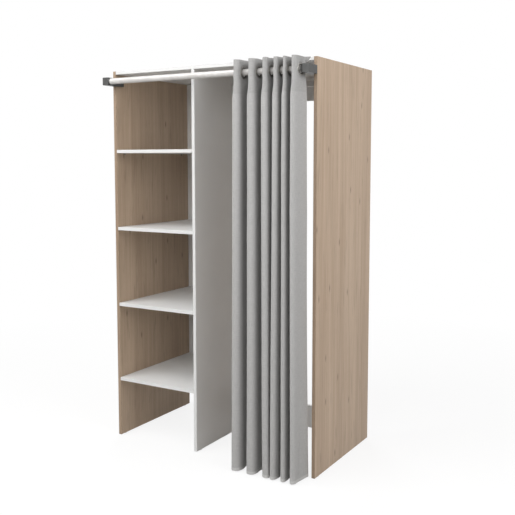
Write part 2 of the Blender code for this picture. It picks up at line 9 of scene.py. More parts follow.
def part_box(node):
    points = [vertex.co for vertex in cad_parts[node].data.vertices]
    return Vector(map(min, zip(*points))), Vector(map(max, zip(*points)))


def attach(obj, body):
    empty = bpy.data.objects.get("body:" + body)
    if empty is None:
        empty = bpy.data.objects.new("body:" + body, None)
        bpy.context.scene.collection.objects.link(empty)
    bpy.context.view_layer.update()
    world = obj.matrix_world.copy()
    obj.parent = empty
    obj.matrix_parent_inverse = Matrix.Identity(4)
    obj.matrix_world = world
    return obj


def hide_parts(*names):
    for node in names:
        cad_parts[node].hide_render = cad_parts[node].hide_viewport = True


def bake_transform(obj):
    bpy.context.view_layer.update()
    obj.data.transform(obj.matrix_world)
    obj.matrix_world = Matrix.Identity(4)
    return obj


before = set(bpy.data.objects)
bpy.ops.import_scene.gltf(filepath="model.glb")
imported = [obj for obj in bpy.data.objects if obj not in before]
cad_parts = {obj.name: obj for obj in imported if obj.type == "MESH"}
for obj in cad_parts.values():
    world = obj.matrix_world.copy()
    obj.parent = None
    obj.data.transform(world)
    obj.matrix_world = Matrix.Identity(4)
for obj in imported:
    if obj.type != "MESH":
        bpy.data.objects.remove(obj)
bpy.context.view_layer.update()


# Camera. It stands in front of the wardrobe's right side at chest height and looks a little
# down. The shift only sets the object in the frame where the photograph has it.
PHOTO_PIXELS = 515
FOCAL_LENGTH_PIXELS = 772.2
LENS_CENTRE_PIXELS = (259.3, 231.75)
SENSOR_WIDTH_MM = 36.0
CAMERA_PLACE = (2.0191, -3.2109, 1.3982)
CAMERA_TURN = math.radians(30.44)
CAMERA_TILT = math.radians(5.19)

scene = bpy.context.scene
lens = bpy.data.cameras.new("photo_camera")
lens.sensor_width = SENSOR_WIDTH_MM
lens.lens = FOCAL_LENGTH_PIXELS / PHOTO_PIXELS * SENSOR_WIDTH_MM
lens.shift_x = (PHOTO_PIXELS / 2 - LENS_CENTRE_PIXELS[0]) / PHOTO_PIXELS
lens.shift_y = (LENS_CENTRE_PIXELS[1] - PHOTO_PIXELS / 2) / PHOTO_PIXELS
camera = bpy.data.objects.new("photo_camera", lens)
camera.location = CAMERA_PLACE
camera.rotation_euler = (math.pi / 2 - CAMERA_TILT, 0, CAMERA_TURN)
scene.collection.objects.link(camera)
scene.camera = camera
scene.view_settings.view_transform = "Standard"


# Studio. A seamless pale floor under a faint dome that is brighter overhead, with large
# softboxes at the front, at the right and behind. The camera and gloss see the dome as white.
DOME_LEVEL = 0.12
DOME_LEAN = (0.0, -0.3, 0.6)
WHITE_LEVEL = 1.0
FLOOR_SIZE = 60.0
FLOOR_COLOUR = "b9b8b6"
FLOOR_GLOW_NEAR, FLOOR_GLOW_FAR = 0.84, 1.0
FLOOR_FADE = (0.9, 3.5)
SOFTBOX_SIZE = 2.4
SOFTBOXES = (
    ("softbox_front", (0.0, -3.6, 2.9), 62),
    ("softbox_left", (-1.7, -2.2, 4.2), 104),
    ("softbox_right", (3.4, -0.6, 3.0), 70),
    ("softbox_low", (3.4, -2.6, 2.2), 24),
    ("softbox_back", (-2.2, 3.4, 2.8), 80))
SOFTBOX_TARGET = Vector((0, 0, 1.0))


def linear(code):
    """A colour written as sRGB hex, in the linear values that shaders take."""
    parts = [int(code[i:i + 2], 16) / 255 for i in (0, 2, 4)]
    return (*[p / 12.92 if p <= 0.04045 else ((p + 0.055) / 1.055) ** 2.4 for p in parts], 1)


def put(tree, kind, inputs=None, links=None, **settings):
    """Adds a node to a tree, sets its properties and inputs, and links sockets into it.
    A socket is named by its name, or by its number where several share one."""
    made = tree.nodes.new(kind)
    for name, value in settings.items():
        setattr(made, name, value)
    for name, value in (inputs or {}).items():
        made.inputs[name].default_value = value
    for name, socket in (links or {}).items():
        tree.links.new(socket, made.inputs[name])
    return made


world = bpy.data.worlds.new("studio_dome")
scene.world = world
world.use_nodes = True
sky = world.node_tree
sky.nodes.clear()
way = put(sky, "ShaderNodeTexCoord")
leaning = put(
    sky, "ShaderNodeVectorMath", {1: DOME_LEAN}, {0: way.outputs["Generated"]}, operation="DOT_PRODUCT")
level = put(
    sky, "ShaderNodeMath", {1: DOME_LEVEL, 2: DOME_LEVEL}, {0: leaning.outputs["Value"]},
    operation="MULTIPLY_ADD")
light_path = put(sky, "ShaderNodeLightPath")
seen = put(
    sky, "ShaderNodeMath", None,
    {0: light_path.outputs["Is Camera Ray"], 1: light_path.outputs["Is Glossy Ray"]}, operation="MAXIMUM")
seen_through = put(
    sky, "ShaderNodeMath", None,
    {0: seen.outputs[0], 1: light_path.outputs["Is Transmission Ray"]}, operation="MAXIMUM")
strength = put(sky, "ShaderNodeMix", {3: WHITE_LEVEL}, {0: seen_through.outputs[0], 2: level.outputs[0]})
dome = put(sky, "ShaderNodeBackground", {"Color": (1, 1, 1, 1)}, {"Strength": strength.outputs[0]})
put(sky, "ShaderNodeOutputWorld", None, {"Surface": dome.outputs[0]})

for name, place, watts in SOFTBOXES:
    lamp = bpy.data.lights.new(name, "AREA")
    lamp.size = SOFTBOX_SIZE
    lamp.energy = watts
    softbox = bpy.data.objects.new(name, lamp)
    softbox.location = place
    softbox.rotation_euler = (SOFTBOX_TARGET - Vector(place)).to_track_quat("-Z", "Y").to_euler()
    softbox.visible_camera = False
    scene.collection.objects.link(softbox)

half_floor = FLOOR_SIZE / 2
floor_mesh = bpy.data.meshes.new("studio_floor")
floor_corners = [(x * half_floor, y * half_floor, 0) for x, y in ((-1, -1), (1, -1), (1, 1), (-1, 1))]
floor_mesh.from_pydata(floor_corners, [], [(0, 1, 2, 3)])
floor = bpy.data.objects.new("studio_floor", floor_mesh)
scene.collection.objects.link(floor)

# Pale seamless paper: it takes the shadow, and a glow that only the camera and gloss see
# lifts it to white, wholly so away from the wardrobe
paper = bpy.data.materials.new("seamless_paper")
paper.use_nodes = True
paper_tree = paper.node_tree
paper_tree.nodes.clear()
paper_path = put(paper_tree, "ShaderNodeLightPath")
paper_seen = put(
    paper_tree, "ShaderNodeMath", None,
    {0: paper_path.outputs["Is Camera Ray"], 1: paper_path.outputs["Is Glossy Ray"]}, operation="MAXIMUM")
plain = put(paper_tree, "ShaderNodeBsdfDiffuse", {"Color": linear(FLOOR_COLOUR)})
lit = put(paper_tree, "ShaderNodeBsdfDiffuse", {"Color": (1, 1, 1, 1)})
glow = put(paper_tree, "ShaderNodeEmission", {"Strength": WHITE_LEVEL})
floor_place = put(paper_tree, "ShaderNodeTexCoord").outputs["Object"]
away = put(paper_tree, "ShaderNodeVectorMath", None, {0: floor_place}, operation="LENGTH").outputs["Value"]
glow_share = put(
    paper_tree, "ShaderNodeMapRange",
    {1: FLOOR_FADE[0], 2: FLOOR_FADE[1], 3: FLOOR_GLOW_NEAR, 4: FLOOR_GLOW_FAR}, {0: away})
lifted = put(
    paper_tree, "ShaderNodeMixShader", None,
    {0: glow_share.outputs[0], 1: lit.outputs[0], 2: glow.outputs[0]})
shown = put(
    paper_tree, "ShaderNodeMixShader", None,
    {0: paper_seen.outputs[0], 1: plain.outputs[0], 2: lifted.outputs[0]})
put(paper_tree, "ShaderNodeOutputMaterial", None, {"Surface": shown.outputs[0]})
floor_mesh.materials.append(paper)


# Sides. 16 mm chipboard faced with an oak decor: a printed paper under melamine resin, satin,
# with the grain upright and its pores pressed in. The edges carry the same decor as a band,
# with painted shade darkening the front edges.
OAK_PALE = "c9b29b"
OAK_DEEP = "b59d86"
OAK_SMOKE = "9a8571"
OAK_KNOT = "7a6758"
OAK_PORE = "a08a76"
OAK_BAND_MM = (70, 1900)
OAK_STREAK_MM = (9, 620)
OAK_SMOKE_MM = (20, 210)
OAK_PORE_MM = (2.4, 60)
OAK_KNOT_SPACING_MM = (115, 340)
OAK_STREAK_SHARE = 0.5
OAK_TONE_RANGE = (0.34, 0.66)
OAK_SMOKE_RANGE = (0.55, 0.78)
OAK_PORE_RANGE = (0.56, 0.70)
OAK_KNOT_REACH = 0.075
OAK_KNOTS_KEPT = 0.55
OAK_KNOT_STRENGTH = 0.75
OAK_SMOKE_STRENGTH = 0.55
OAK_PORE_STRENGTH = 0.25
OAK_EDGE_PAINTED_SHADE = "d8d6d4"
OAK_EDGE_SKIN = 0.0002
OAK_PORE_DEPTH = 0.00015
OAK_ROUGHNESS = 0.48
OAK_ROUGHNESS_RANGE = (0.44, 0.54)
MELAMINE_IOR = 1.50
MELAMINE_SPECULAR = 0.35
NOISE_SPREAD = (0.3, 0.7)


def new_finish(name, roughness, **inputs):
    """A material with its tree, its shader and the object's own coordinates."""
    made = bpy.data.materials.new(name)
    made.use_nodes = True
    tree = made.node_tree
    shader = tree.nodes["Principled BSDF"]
    shader.inputs["Roughness"].default_value = roughness
    for key, value in inputs.items():
        shader.inputs[key.replace("_", " ")].default_value = value
    return made, tree, shader, put(tree, "ShaderNodeTexCoord").outputs["Object"]


def dress(thing, finish):
    """Gives a CAD board or fitting its finish, on the object and not on its mesh."""
    for place_for in thing.material_slots:
        place_for.link = "OBJECT"
        place_for.material = finish


def grain_space(tree, place, across_along_mm):
    """Flat coordinates up a board's faces and edges, one unit to a feature of that size."""
    across, along = (1000 / size for size in across_along_mm)
    u = put(tree, "ShaderNodeVectorMath", {1: (across, across, 0)}, {0: place}, operation="DOT_PRODUCT")
    v = put(tree, "ShaderNodeVectorMath", {1: (0, 0, along)}, {0: place}, operation="DOT_PRODUCT")
    flat = put(tree, "ShaderNodeCombineXYZ", None, {0: u.outputs["Value"], 1: v.outputs["Value"]})
    return flat.outputs[0]


def blend_colours(tree, factor, first, second):
    """Two colours, each a hex code or a socket, mixed by a factor's socket."""
    codes = {n: linear(c) for n, c in ((6, first), (7, second)) if isinstance(c, str)}
    sockets = {n: c for n, c in ((6, first), (7, second)) if not isinstance(c, str)}
    return put(tree, "ShaderNodeMix", codes, {0: factor, **sockets}, data_type="RGBA").outputs[2]


def step_between(tree, value, low, high, to_low=0, to_high=1):
    """A smooth step of a value from low to high."""
    made = put(
        tree, "ShaderNodeMapRange", {1: low, 2: high, 3: to_low, 4: to_high}, {0: value},
        interpolation_type="SMOOTHSTEP")
    return made.outputs[0]


# Printed oak under resin: a warm satin with streaks, faint smoke and a few knots. The decor's
# pores are a few tenths of a millimetre wide, too fine to show, and are drawn 2.4 mm wide.
oak, tree, shader, place = new_finish(
    "oak_decor_melamine", OAK_ROUGHNESS, IOR=MELAMINE_IOR, Specular_IOR_Level=MELAMINE_SPECULAR)
bands = put(
    tree, "ShaderNodeTexNoise", {"Scale": 1, "Detail": 2, "Roughness": 0.5, "Distortion": 0.6},
    {"Vector": grain_space(tree, place, OAK_BAND_MM)})
streaks = put(
    tree, "ShaderNodeTexNoise", {"Scale": 1, "Detail": 4, "Roughness": 0.62, "Distortion": 0.4},
    {"Vector": grain_space(tree, place, OAK_STREAK_MM)})
smoke = put(
    tree, "ShaderNodeTexNoise", {"Scale": 1, "Detail": 3, "Roughness": 0.5, "Distortion": 0.5},
    {"Vector": grain_space(tree, place, OAK_SMOKE_MM)})
pores = put(
    tree, "ShaderNodeTexNoise", {"Scale": 1, "Detail": 1, "Roughness": 0.5},
    {"Vector": grain_space(tree, place, OAK_PORE_MM)})
knots = put(
    tree, "ShaderNodeTexVoronoi", {"Scale": 1, "Randomness": 1},
    {"Vector": grain_space(tree, place, OAK_KNOT_SPACING_MM)}, voronoi_dimensions="2D")
banding = put(
    tree, "ShaderNodeMath", {1: 1 - OAK_STREAK_SHARE}, {0: bands.outputs[0]}, operation="MULTIPLY")
tone = put(
    tree, "ShaderNodeMath", {1: OAK_STREAK_SHARE}, {0: streaks.outputs[0], 2: banding.outputs[0]},
    operation="MULTIPLY_ADD")
wood = blend_colours(tree, step_between(tree, tone.outputs[0], *OAK_TONE_RANGE), OAK_PALE, OAK_DEEP)
smoke_mask = step_between(tree, smoke.outputs[0], *OAK_SMOKE_RANGE, 0, OAK_SMOKE_STRENGTH)
wood = blend_colours(tree, smoke_mask, wood, OAK_SMOKE)
pore_mask = step_between(tree, pores.outputs[0], *OAK_PORE_RANGE, 0, OAK_PORE_STRENGTH)
wood = blend_colours(tree, pore_mask, wood, OAK_PORE)
knot_here = step_between(tree, knots.outputs["Distance"], OAK_KNOT_REACH, 0, 0, OAK_KNOT_STRENGTH)
chance = put(tree, "ShaderNodeSeparateColor", None, {0: knots.outputs["Color"]})
kept = put(tree, "ShaderNodeMath", {1: OAK_KNOTS_KEPT}, {0: chance.outputs[0]}, operation="GREATER_THAN")
knot_mask = put(tree, "ShaderNodeMath", None, {0: knot_here, 1: kept.outputs[0]}, operation="MULTIPLY")
wood = blend_colours(tree, knot_mask.outputs[0], wood, OAK_KNOT)
# Painted shade: the front edges of both sides are darkened, standing in for the shade that falls there
FRONT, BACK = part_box("right_side")[0].y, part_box("right_side")[1].y
depth = put(tree, "ShaderNodeSeparateXYZ", None, {0: place})
at_front_edge_painted_shade = put(
    tree, "ShaderNodeMath", {1: FRONT + OAK_EDGE_SKIN}, {0: depth.outputs["Y"]}, operation="LESS_THAN")
wood_with_painted_edge_shade = put(
    tree, "ShaderNodeMix", {7: linear(OAK_EDGE_PAINTED_SHADE)}, {0: at_front_edge_painted_shade.outputs[0], 6: wood}, data_type="RGBA",
    blend_type="MULTIPLY")
tree.links.new(wood_with_painted_edge_shade.outputs[2], shader.inputs["Base Color"])
pressed = put(
    tree, "ShaderNodeBump", {"Strength": 1, "Distance": OAK_PORE_DEPTH}, {"Height": pore_mask}, invert=True)
tree.links.new(pressed.outputs[0], shader.inputs["Normal"])
satin = step_between(tree, streaks.outputs[0], *NOISE_SPREAD, *OAK_ROUGHNESS_RANGE)
tree.links.new(satin, shader.inputs["Roughness"])

for name in ("left_side", "right_side"):
    dress(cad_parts[name], oak)


# White boards: top, partition, shelves and back rails. The same chipboard under a white
# melamine face with a fine pearl, and a white band on each edge.
WHITE_FACE = "e8e8e7"
WHITE_FACE_LOW = "e5e5e4"
WHITE_ROUGHNESS = 0.42
WHITE_ROUGHNESS_SWING = 0.05
PEARL_MM = 2.4
PEARL_DEPTH = 0.00006
CLOUD_MM = 240
CLOUD_RANGE = (0.35, 0.65)


def even_space(tree, place, size_mm):
    """The object's coordinates with one unit to a feature of that size, in each direction."""
    across = 1000 / size_mm
    return put(
        tree, "ShaderNodeVectorMath", {1: (across, across, across)}, {0: place},
        operation="MULTIPLY").outputs[0]


def white_board(name, roughness):
    """White melamine: a near-even white with a fine pearl that breaks up its gloss. The real
    pearl is finer than half a millimetre, and is drawn 2.4 mm wide to show."""
    made, tree, shader, place = new_finish(
        name, roughness, IOR=MELAMINE_IOR, Specular_IOR_Level=MELAMINE_SPECULAR)
    cloud = put(
        tree, "ShaderNodeTexNoise", {"Scale": 1, "Detail": 2},
        {"Vector": even_space(tree, place, CLOUD_MM)})
    pearl = put(
        tree, "ShaderNodeTexNoise", {"Scale": 1, "Detail": 2},
        {"Vector": even_space(tree, place, PEARL_MM)})
    face = blend_colours(
        tree, step_between(tree, cloud.outputs[0], *CLOUD_RANGE), WHITE_FACE, WHITE_FACE_LOW)
    tree.links.new(face, shader.inputs["Base Color"])
    bump = put(
        tree, "ShaderNodeBump", {"Strength": 1, "Distance": PEARL_DEPTH}, {"Height": pearl.outputs[0]})
    tree.links.new(bump.outputs[0], shader.inputs["Normal"])
    gloss = step_between(
        tree, pearl.outputs[0], *NOISE_SPREAD, roughness - WHITE_ROUGHNESS_SWING,
        roughness + WHITE_ROUGHNESS_SWING)
    tree.links.new(gloss, shader.inputs["Roughness"])
    return made, tree, shader, place, face


white_melamine = white_board("white_melamine", WHITE_ROUGHNESS)[0]
WHITE_BOARDS = (
    "top_panel", "partition", "shelf_1", "shelf_2", "shelf_3", "bottom_shelf", "upper_back_rail",
    "lower_back_rail")
for name in WHITE_BOARDS:
    dress(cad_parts[name], white_melamine)


# Back sheet behind the shelves. 3 mm hardboard, lacquered white towards the room and left
# brown behind, nailed to the edges of the boards with flat-headed nails.
HARDBOARD = "a5835f"
HARDBOARD_DARK = "997752"
HARDBOARD_FIBRE_MM = 9
HARDBOARD_ROUGHNESS = 0.50
NAIL_SPACING = 0.150
NAIL_FROM_EDGE = 0.006
NAIL_HEAD = 0.0028
NAIL_TALL = 0.0007
NAIL_SOFT_SHARE = 0.8
NAIL_STEPS = 20
TURNED_STEPS = 32
TURNED_SHARP = math.radians(35)
STEEL = "b9b9b8"
STEEL_ROUGHNESS = 0.32
METAL_MARK_MM = 1.5
METAL_SHADE = 0.88
METAL_ROUGHNESS_SHARES = (0.85, 1.2)

# Lacquered hardboard: the boards' white towards the room, and a brown mottled with fibres behind
back_low, back_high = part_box("back_panel")
back_board, tree, shader, place, face = white_board("lacquered_hardboard", HARDBOARD_ROUGHNESS)
fibres = put(
    tree, "ShaderNodeTexNoise", {"Scale": 1, "Detail": 5, "Roughness": 0.7},
    {"Vector": even_space(tree, place, HARDBOARD_FIBRE_MM)})
brown = blend_colours(
    tree, step_between(tree, fibres.outputs[0], *CLOUD_RANGE), HARDBOARD, HARDBOARD_DARK)
depth = put(tree, "ShaderNodeSeparateXYZ", None, {0: place})
behind = put(
    tree, "ShaderNodeMath", {1: (back_low.y + back_high.y) / 2}, {0: depth.outputs["Y"]},
    operation="GREATER_THAN")
tree.links.new(blend_colours(tree, behind.outputs[0], face, brown), shader.inputs["Base Color"])
dress(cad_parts["back_panel"], back_board)


def turned(name, profile, steps=TURNED_STEPS, closed=False, sharp=TURNED_SHARP):
    """A profile of (radius, height) points turned about Z."""
    shape = bmesh.new()
    rings = []
    for radius, rise in profile:
        if radius:
            turns = [2 * math.pi * step / steps for step in range(steps)]
            places = [(radius * math.cos(a), radius * math.sin(a), rise) for a in turns]
            rings.append([shape.verts.new(place) for place in places])
        else:
            rings.append([shape.verts.new((0, 0, rise))] * steps)
    pairs = list(zip(rings, rings[1:])) + ([(rings[-1], rings[0])] if closed else [])
    for upper, lower in pairs:
        for i in range(steps):
            j = (i + 1) % steps
            corners = list(dict.fromkeys((upper[i], lower[i], lower[j], upper[j])))
            if len(corners) > 2:
                shape.faces.new(corners)
    bmesh.ops.recalc_face_normals(shape, faces=shape.faces)
    made = bpy.data.meshes.new(name)
    shape.to_mesh(made)
    shape.free()
    made.shade_smooth()
    made.set_sharp_from_angle(angle=sharp)
    return made


def rounded_disc(radius, base, top, soft, steps=4):
    """The profile of a disc whose upper rim is rounded, from its top's centre down."""
    arc = [math.pi / 2 * step / steps for step in range(steps + 1)]
    rim = [(radius - soft + soft * math.sin(a), top - soft + soft * math.cos(a)) for a in arc]
    return [(0, top)] + rim + [(radius, base), (0, base)]


def along(origin, axis):
    """A placement whose local Z lies along an axis."""
    turn = Vector(axis).to_track_quat("Z", "Y").to_matrix().to_4x4()
    return Matrix.Translation(Vector(origin)) @ turn


def piece(name, mesh, finish, body, place=None, stands_for=()):
    """An object of the wardrobe that rides on a body and may stand for CAD nodes."""
    made = bpy.data.objects.new(name, mesh)
    scene.collection.objects.link(made)
    if not mesh.materials:
        mesh.materials.append(finish)
    if place:
        made.matrix_world = place
    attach(made, body)
    if stands_for:
        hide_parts(*stands_for)
    return made


def darkened(code, share):
    """A colour's hex code with each channel brought down to a share of itself."""
    return "".join(f"{int(int(code[i:i + 2], 16) * share):02x}" for i in (0, 2, 4))


def small_metal(name, code, roughness):
    """Metal of small fittings: a grey gloss, broken up by fine marks."""
    made, tree, shader, place = new_finish(name, roughness, Metallic=1.0)
    marks = put(
        tree, "ShaderNodeTexNoise", {"Scale": 1, "Detail": 3},
        {"Vector": even_space(tree, place, METAL_MARK_MM)})
    tone = blend_colours(
        tree, step_between(tree, marks.outputs[0], *NOISE_SPREAD), code, darkened(code, METAL_SHADE))
    tree.links.new(tone, shader.inputs["Base Color"])
    gloss = step_between(
        tree, marks.outputs[0], *NOISE_SPREAD, *[roughness * share for share in METAL_ROUGHNESS_SHARES])
    tree.links.new(gloss, shader.inputs["Roughness"])
    return made


bright_steel = small_metal("bright_steel", STEEL, STEEL_ROUGHNESS)
nail_profile = rounded_disc(NAIL_HEAD, -NAIL_TALL, NAIL_TALL, NAIL_TALL * NAIL_SOFT_SHARE)
nail = turned("nail_head", nail_profile, NAIL_STEPS)


def spaced(low, high):
    """Even places from low to high, at about the spacing of nails."""
    count = round((high - low) / NAIL_SPACING)
    return [low + (high - low) * i / count for i in range(count + 1)]


nail_columns = [back_low.x + NAIL_FROM_EDGE, back_high.x - NAIL_FROM_EDGE]
nail_rows = [back_low.z + NAIL_FROM_EDGE, back_high.z - NAIL_FROM_EDGE]
for number in (1, 2, 3):
    shelf_low, shelf_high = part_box(f"shelf_{number}")
    nail_rows.append((shelf_low.z + shelf_high.z) / 2)
nail_places = {(x, z) for x in nail_columns for z in spaced(nail_rows[0], nail_rows[1])}
nail_places |= {(x, z) for z in nail_rows for x in spaced(*nail_columns)[1:-1]}
for number, (x, z) in enumerate(sorted(nail_places), 1):
    piece(
        f"back_nail_{number:02d}", nail, bright_steel, "cabinet",
        along((x, back_high.y, z), (0, 1, 0)))


# Cover caps over the cams that pull the fixed boards together. Thin moulded discs, pressed
# into the cams' mouths on the sides of the boards that are seen least.
CAP_RADIUS = 0.0088
CAP_TALL = 0.0009
CAP_SOFT = 0.0007
CAM_SETBACK = 0.034
CAM_FROM_EDGE = 0.060
RAIL_CAM_RISE = 0.032
WHITE_CAP = "ecebe8"
CAP_ROUGHNESS = 0.45
PLASTIC_IOR = 1.49
PLASTIC_GRAIN_MM, PLASTIC_GRAIN_DEPTH = 0.9, 0.00008
PLASTIC_CLOUD_MM = 22
PLASTIC_SHADE = 0.94
PLASTIC_ROUGHNESS_SWING = 0.06


def moulded(name, code, roughness, grain_mm=PLASTIC_GRAIN_MM, depth=PLASTIC_GRAIN_DEPTH):
    """Moulded plastic: even colour, the mould's fine spark-eroded grain, drawn about three
    times as coarse as it is, and a soft gloss."""
    made, tree, shader, place = new_finish(name, roughness, IOR=PLASTIC_IOR)
    grain = put(
        tree, "ShaderNodeTexNoise", {"Scale": 1, "Detail": 2},
        {"Vector": even_space(tree, place, grain_mm)})
    cloud = put(
        tree, "ShaderNodeTexNoise", {"Scale": 1, "Detail": 1},
        {"Vector": even_space(tree, place, PLASTIC_CLOUD_MM)})
    tone = blend_colours(
        tree, step_between(tree, cloud.outputs[0], *NOISE_SPREAD), code, darkened(code, PLASTIC_SHADE))
    tree.links.new(tone, shader.inputs["Base Color"])
    bump = put(tree, "ShaderNodeBump", {"Strength": 1, "Distance": depth}, {"Height": grain.outputs[0]})
    tree.links.new(bump.outputs[0], shader.inputs["Normal"])
    gloss = step_between(
        tree, grain.outputs[0], *NOISE_SPREAD, roughness - PLASTIC_ROUGHNESS_SWING,
        roughness + PLASTIC_ROUGHNESS_SWING)
    tree.links.new(gloss, shader.inputs["Roughness"])
    return made


white_moulding = moulded("white_moulded_plastic", WHITE_CAP, CAP_ROUGHNESS)
cap = turned("cover_cap", rounded_disc(CAP_RADIUS, -CAP_TALL / 2, CAP_TALL, CAP_SOFT))
LEFT_IN, RIGHT_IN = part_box("left_side")[1].x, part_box("right_side")[0].x
PARTITION_LEFT, PARTITION_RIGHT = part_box("partition")[0].x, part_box("partition")[1].x
UNDER_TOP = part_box("top_panel")[0].z
cap_rows = (FRONT + CAM_FROM_EDGE, BACK - CAM_FROM_EDGE)
cap_places = [((PARTITION_LEFT, y, UNDER_TOP - CAM_SETBACK), (-1, 0, 0)) for y in cap_rows]
capped_boards = (
    ("top_panel", RIGHT_IN, 1), ("shelf_2", PARTITION_LEFT, -1), ("bottom_shelf", PARTITION_LEFT, -1))
for name, right, facing in capped_boards:
    face_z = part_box(name)[1 if facing > 0 else 0].z
    for x in (LEFT_IN + CAM_SETBACK, right - CAM_SETBACK):
        cap_places += [((x, y, face_z), (0, 0, facing)) for y in cap_rows]
for name in ("upper_back_rail", "lower_back_rail"):
    low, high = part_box(name)
    for x in (PARTITION_RIGHT + CAM_SETBACK, RIGHT_IN - CAM_SETBACK):
        cap_places.append(((x, BACK, (low.z + high.z) / 2 + RAIL_CAM_RISE), (0, 1, 0)))
for number, (origin, axis) in enumerate(cap_places, 1):
    piece(f"cover_cap_{number:02d}", cap, white_moulding, "cabinet", along(origin, axis))


# Shelf pins under the two loose shelves. Nickel-plated steel, pushed into the boards as far
# as their collar; the shelf lies on the seat in front of it.
PIN_SEAT, PIN_COLLAR, PIN_SHANK = 0.003, 0.0045, 0.0025
PIN_REACH, PIN_COLLAR_TALL, PIN_IN_BOARD = 0.008, 0.0015, 0.008
PIN_SOFT = 0.0006
NICKEL = "c9c5bb"
NICKEL_ROUGHNESS = 0.24

# Nickel plate: warmer and brighter than the steel
nickel = small_metal("nickel_plate", NICKEL, NICKEL_ROUGHNESS)
pin_end = rounded_disc(PIN_SEAT, PIN_COLLAR_TALL, PIN_REACH, PIN_SOFT)[:-1]
pin_collar = rounded_disc(PIN_COLLAR, 0, PIN_COLLAR_TALL, PIN_SOFT / 2)[1:-1]
pin_shank = [(PIN_SHANK, 0), (PIN_SHANK, -PIN_IN_BOARD), (0, -PIN_IN_BOARD)]
pin = turned("shelf_pin", pin_end + pin_collar + pin_shank)
for node in sorted(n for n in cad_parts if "_pin_" in n):
    low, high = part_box(node)
    side = 1 if "_left_" in node else -1
    origin = (LEFT_IN if side > 0 else PARTITION_LEFT, (low.y + high.y) / 2, (low.z + high.z) / 2)
    piece(node + "_plated", pin, nickel, "cabinet", along(origin, (side, 0, 0)), [node])


# Floor glides. Moulded nylon pads round a steel nail, tapped into the lower ends of the
# uprights so that the boards' edges stay off the floor.
GLIDE_RADIUS, GLIDE_TALL, GLIDE_SOFT = 0.007, 0.003, 0.0009
GLIDE_NAIL_RADIUS, GLIDE_NAIL_LENGTH = 0.0012, 0.012
NYLON = "e6e5e0"
NYLON_ROUGHNESS = 0.38

# Nylon: a milky white, a little glossier than the caps
glide_white = moulded("glide_nylon", NYLON, NYLON_ROUGHNESS)
glide_profile = rounded_disc(GLIDE_RADIUS, 0, GLIDE_TALL, GLIDE_SOFT)[:-1]
glide_profile += [
    (GLIDE_NAIL_RADIUS, 0), (GLIDE_NAIL_RADIUS, -GLIDE_NAIL_LENGTH),
    (0, -GLIDE_NAIL_LENGTH - GLIDE_NAIL_RADIUS)]
glide = turned("floor_glide", glide_profile)
for node in sorted(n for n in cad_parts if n.startswith("floor_glide")):
    low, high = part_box(node)
    origin = ((low.x + high.x) / 2, (low.y + high.y) / 2, GLIDE_TALL)
    piece(node + "_pad", glide, glide_white, "cabinet", along(origin, (0, 0, -1)), [node])


# Curtain rod. A drawn steel tube, stoved in white lacquer, that lies across the front with
# its ends hidden in the two brackets.
ROD_RADIUS = 0.014
ROD_WALL = 0.0012
ROD_STEPS = 64
LACQUER, LACQUER_SHADE = "dad7d4", "cfccc9"
LACQUER_IOR = 1.50
LACQUER_ROUGHNESS = 0.34
LACQUER_COAT, LACQUER_COAT_ROUGHNESS = 0.25, 0.12
LACQUER_CLOUD_MM = 35
PEEL_MM, PEEL_DEPTH = 2.2, 0.00003

# Stoved lacquer on steel: an even colour under a thin clear gloss with slight orange peel
white_lacquer, tree, shader, place = new_finish(
    "white_stoved_lacquer", LACQUER_ROUGHNESS, IOR=LACQUER_IOR, Coat_Weight=LACQUER_COAT,
    Coat_Roughness=LACQUER_COAT_ROUGHNESS)
peel = put(
    tree, "ShaderNodeTexNoise", {"Scale": 1, "Detail": 2}, {"Vector": even_space(tree, place, PEEL_MM)})
cloud = put(
    tree, "ShaderNodeTexNoise", {"Scale": 1, "Detail": 1},
    {"Vector": even_space(tree, place, LACQUER_CLOUD_MM)})
tone = blend_colours(tree, step_between(tree, cloud.outputs[0], *NOISE_SPREAD), LACQUER, LACQUER_SHADE)
tree.links.new(tone, shader.inputs["Base Color"])
bump = put(tree, "ShaderNodeBump", {"Strength": 1, "Distance": PEEL_DEPTH}, {"Height": peel.outputs[0]})
tree.links.new(bump.outputs[0], shader.inputs["Normal"])

rod_low, rod_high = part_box("curtain_rod")
ROD_Y, ROD_Z = (rod_low.y + rod_high.y) / 2, (rod_low.z + rod_high.z) / 2
half_rod, rod_bore = (rod_high.x - rod_low.x) / 2, ROD_RADIUS - ROD_WALL
rod_profile = [(ROD_RADIUS, half_rod), (ROD_RADIUS, -half_rod), (rod_bore, -half_rod), (rod_bore, half_rod)]
piece(
    "rod_tube", turned("rod_tube", rod_profile, ROD_STEPS, closed=True), white_lacquer, "cabinet",
    along((0, ROD_Y, ROD_Z), (1, 0, 0)), ["curtain_rod"])


# Rod brackets. Moulded in dark grey plastic: a block ahead of the side panel's edge, a tongue
# screwed to its inner face, and a raised rim round the rod's socket.
RIM_OUTER, RIM_REACH, RIM_SOFT = 0.0172, 0.0050, 0.0010
RIM_PLAY, RIM_ROOT = 0.0004, 0.001
RIM_ARC_STEPS = 4
BRACKET_GREY = "494948"
BRACKET_ROUGHNESS = 0.46
BRACKET_GRAIN_MM, BRACKET_GRAIN_DEPTH = 1.1, 0.00010
SCREW_HEAD, SCREW_TALL, SCREW_SHANK, SCREW_LENGTH = 0.0035, 0.0022, 0.00175, 0.024
SCREW_RINGS, SCREW_STEPS = 12, 48
CROSS_REACH, CROSS_WIDTH, CROSS_DEEP = 0.0022, 0.0009, 0.0011

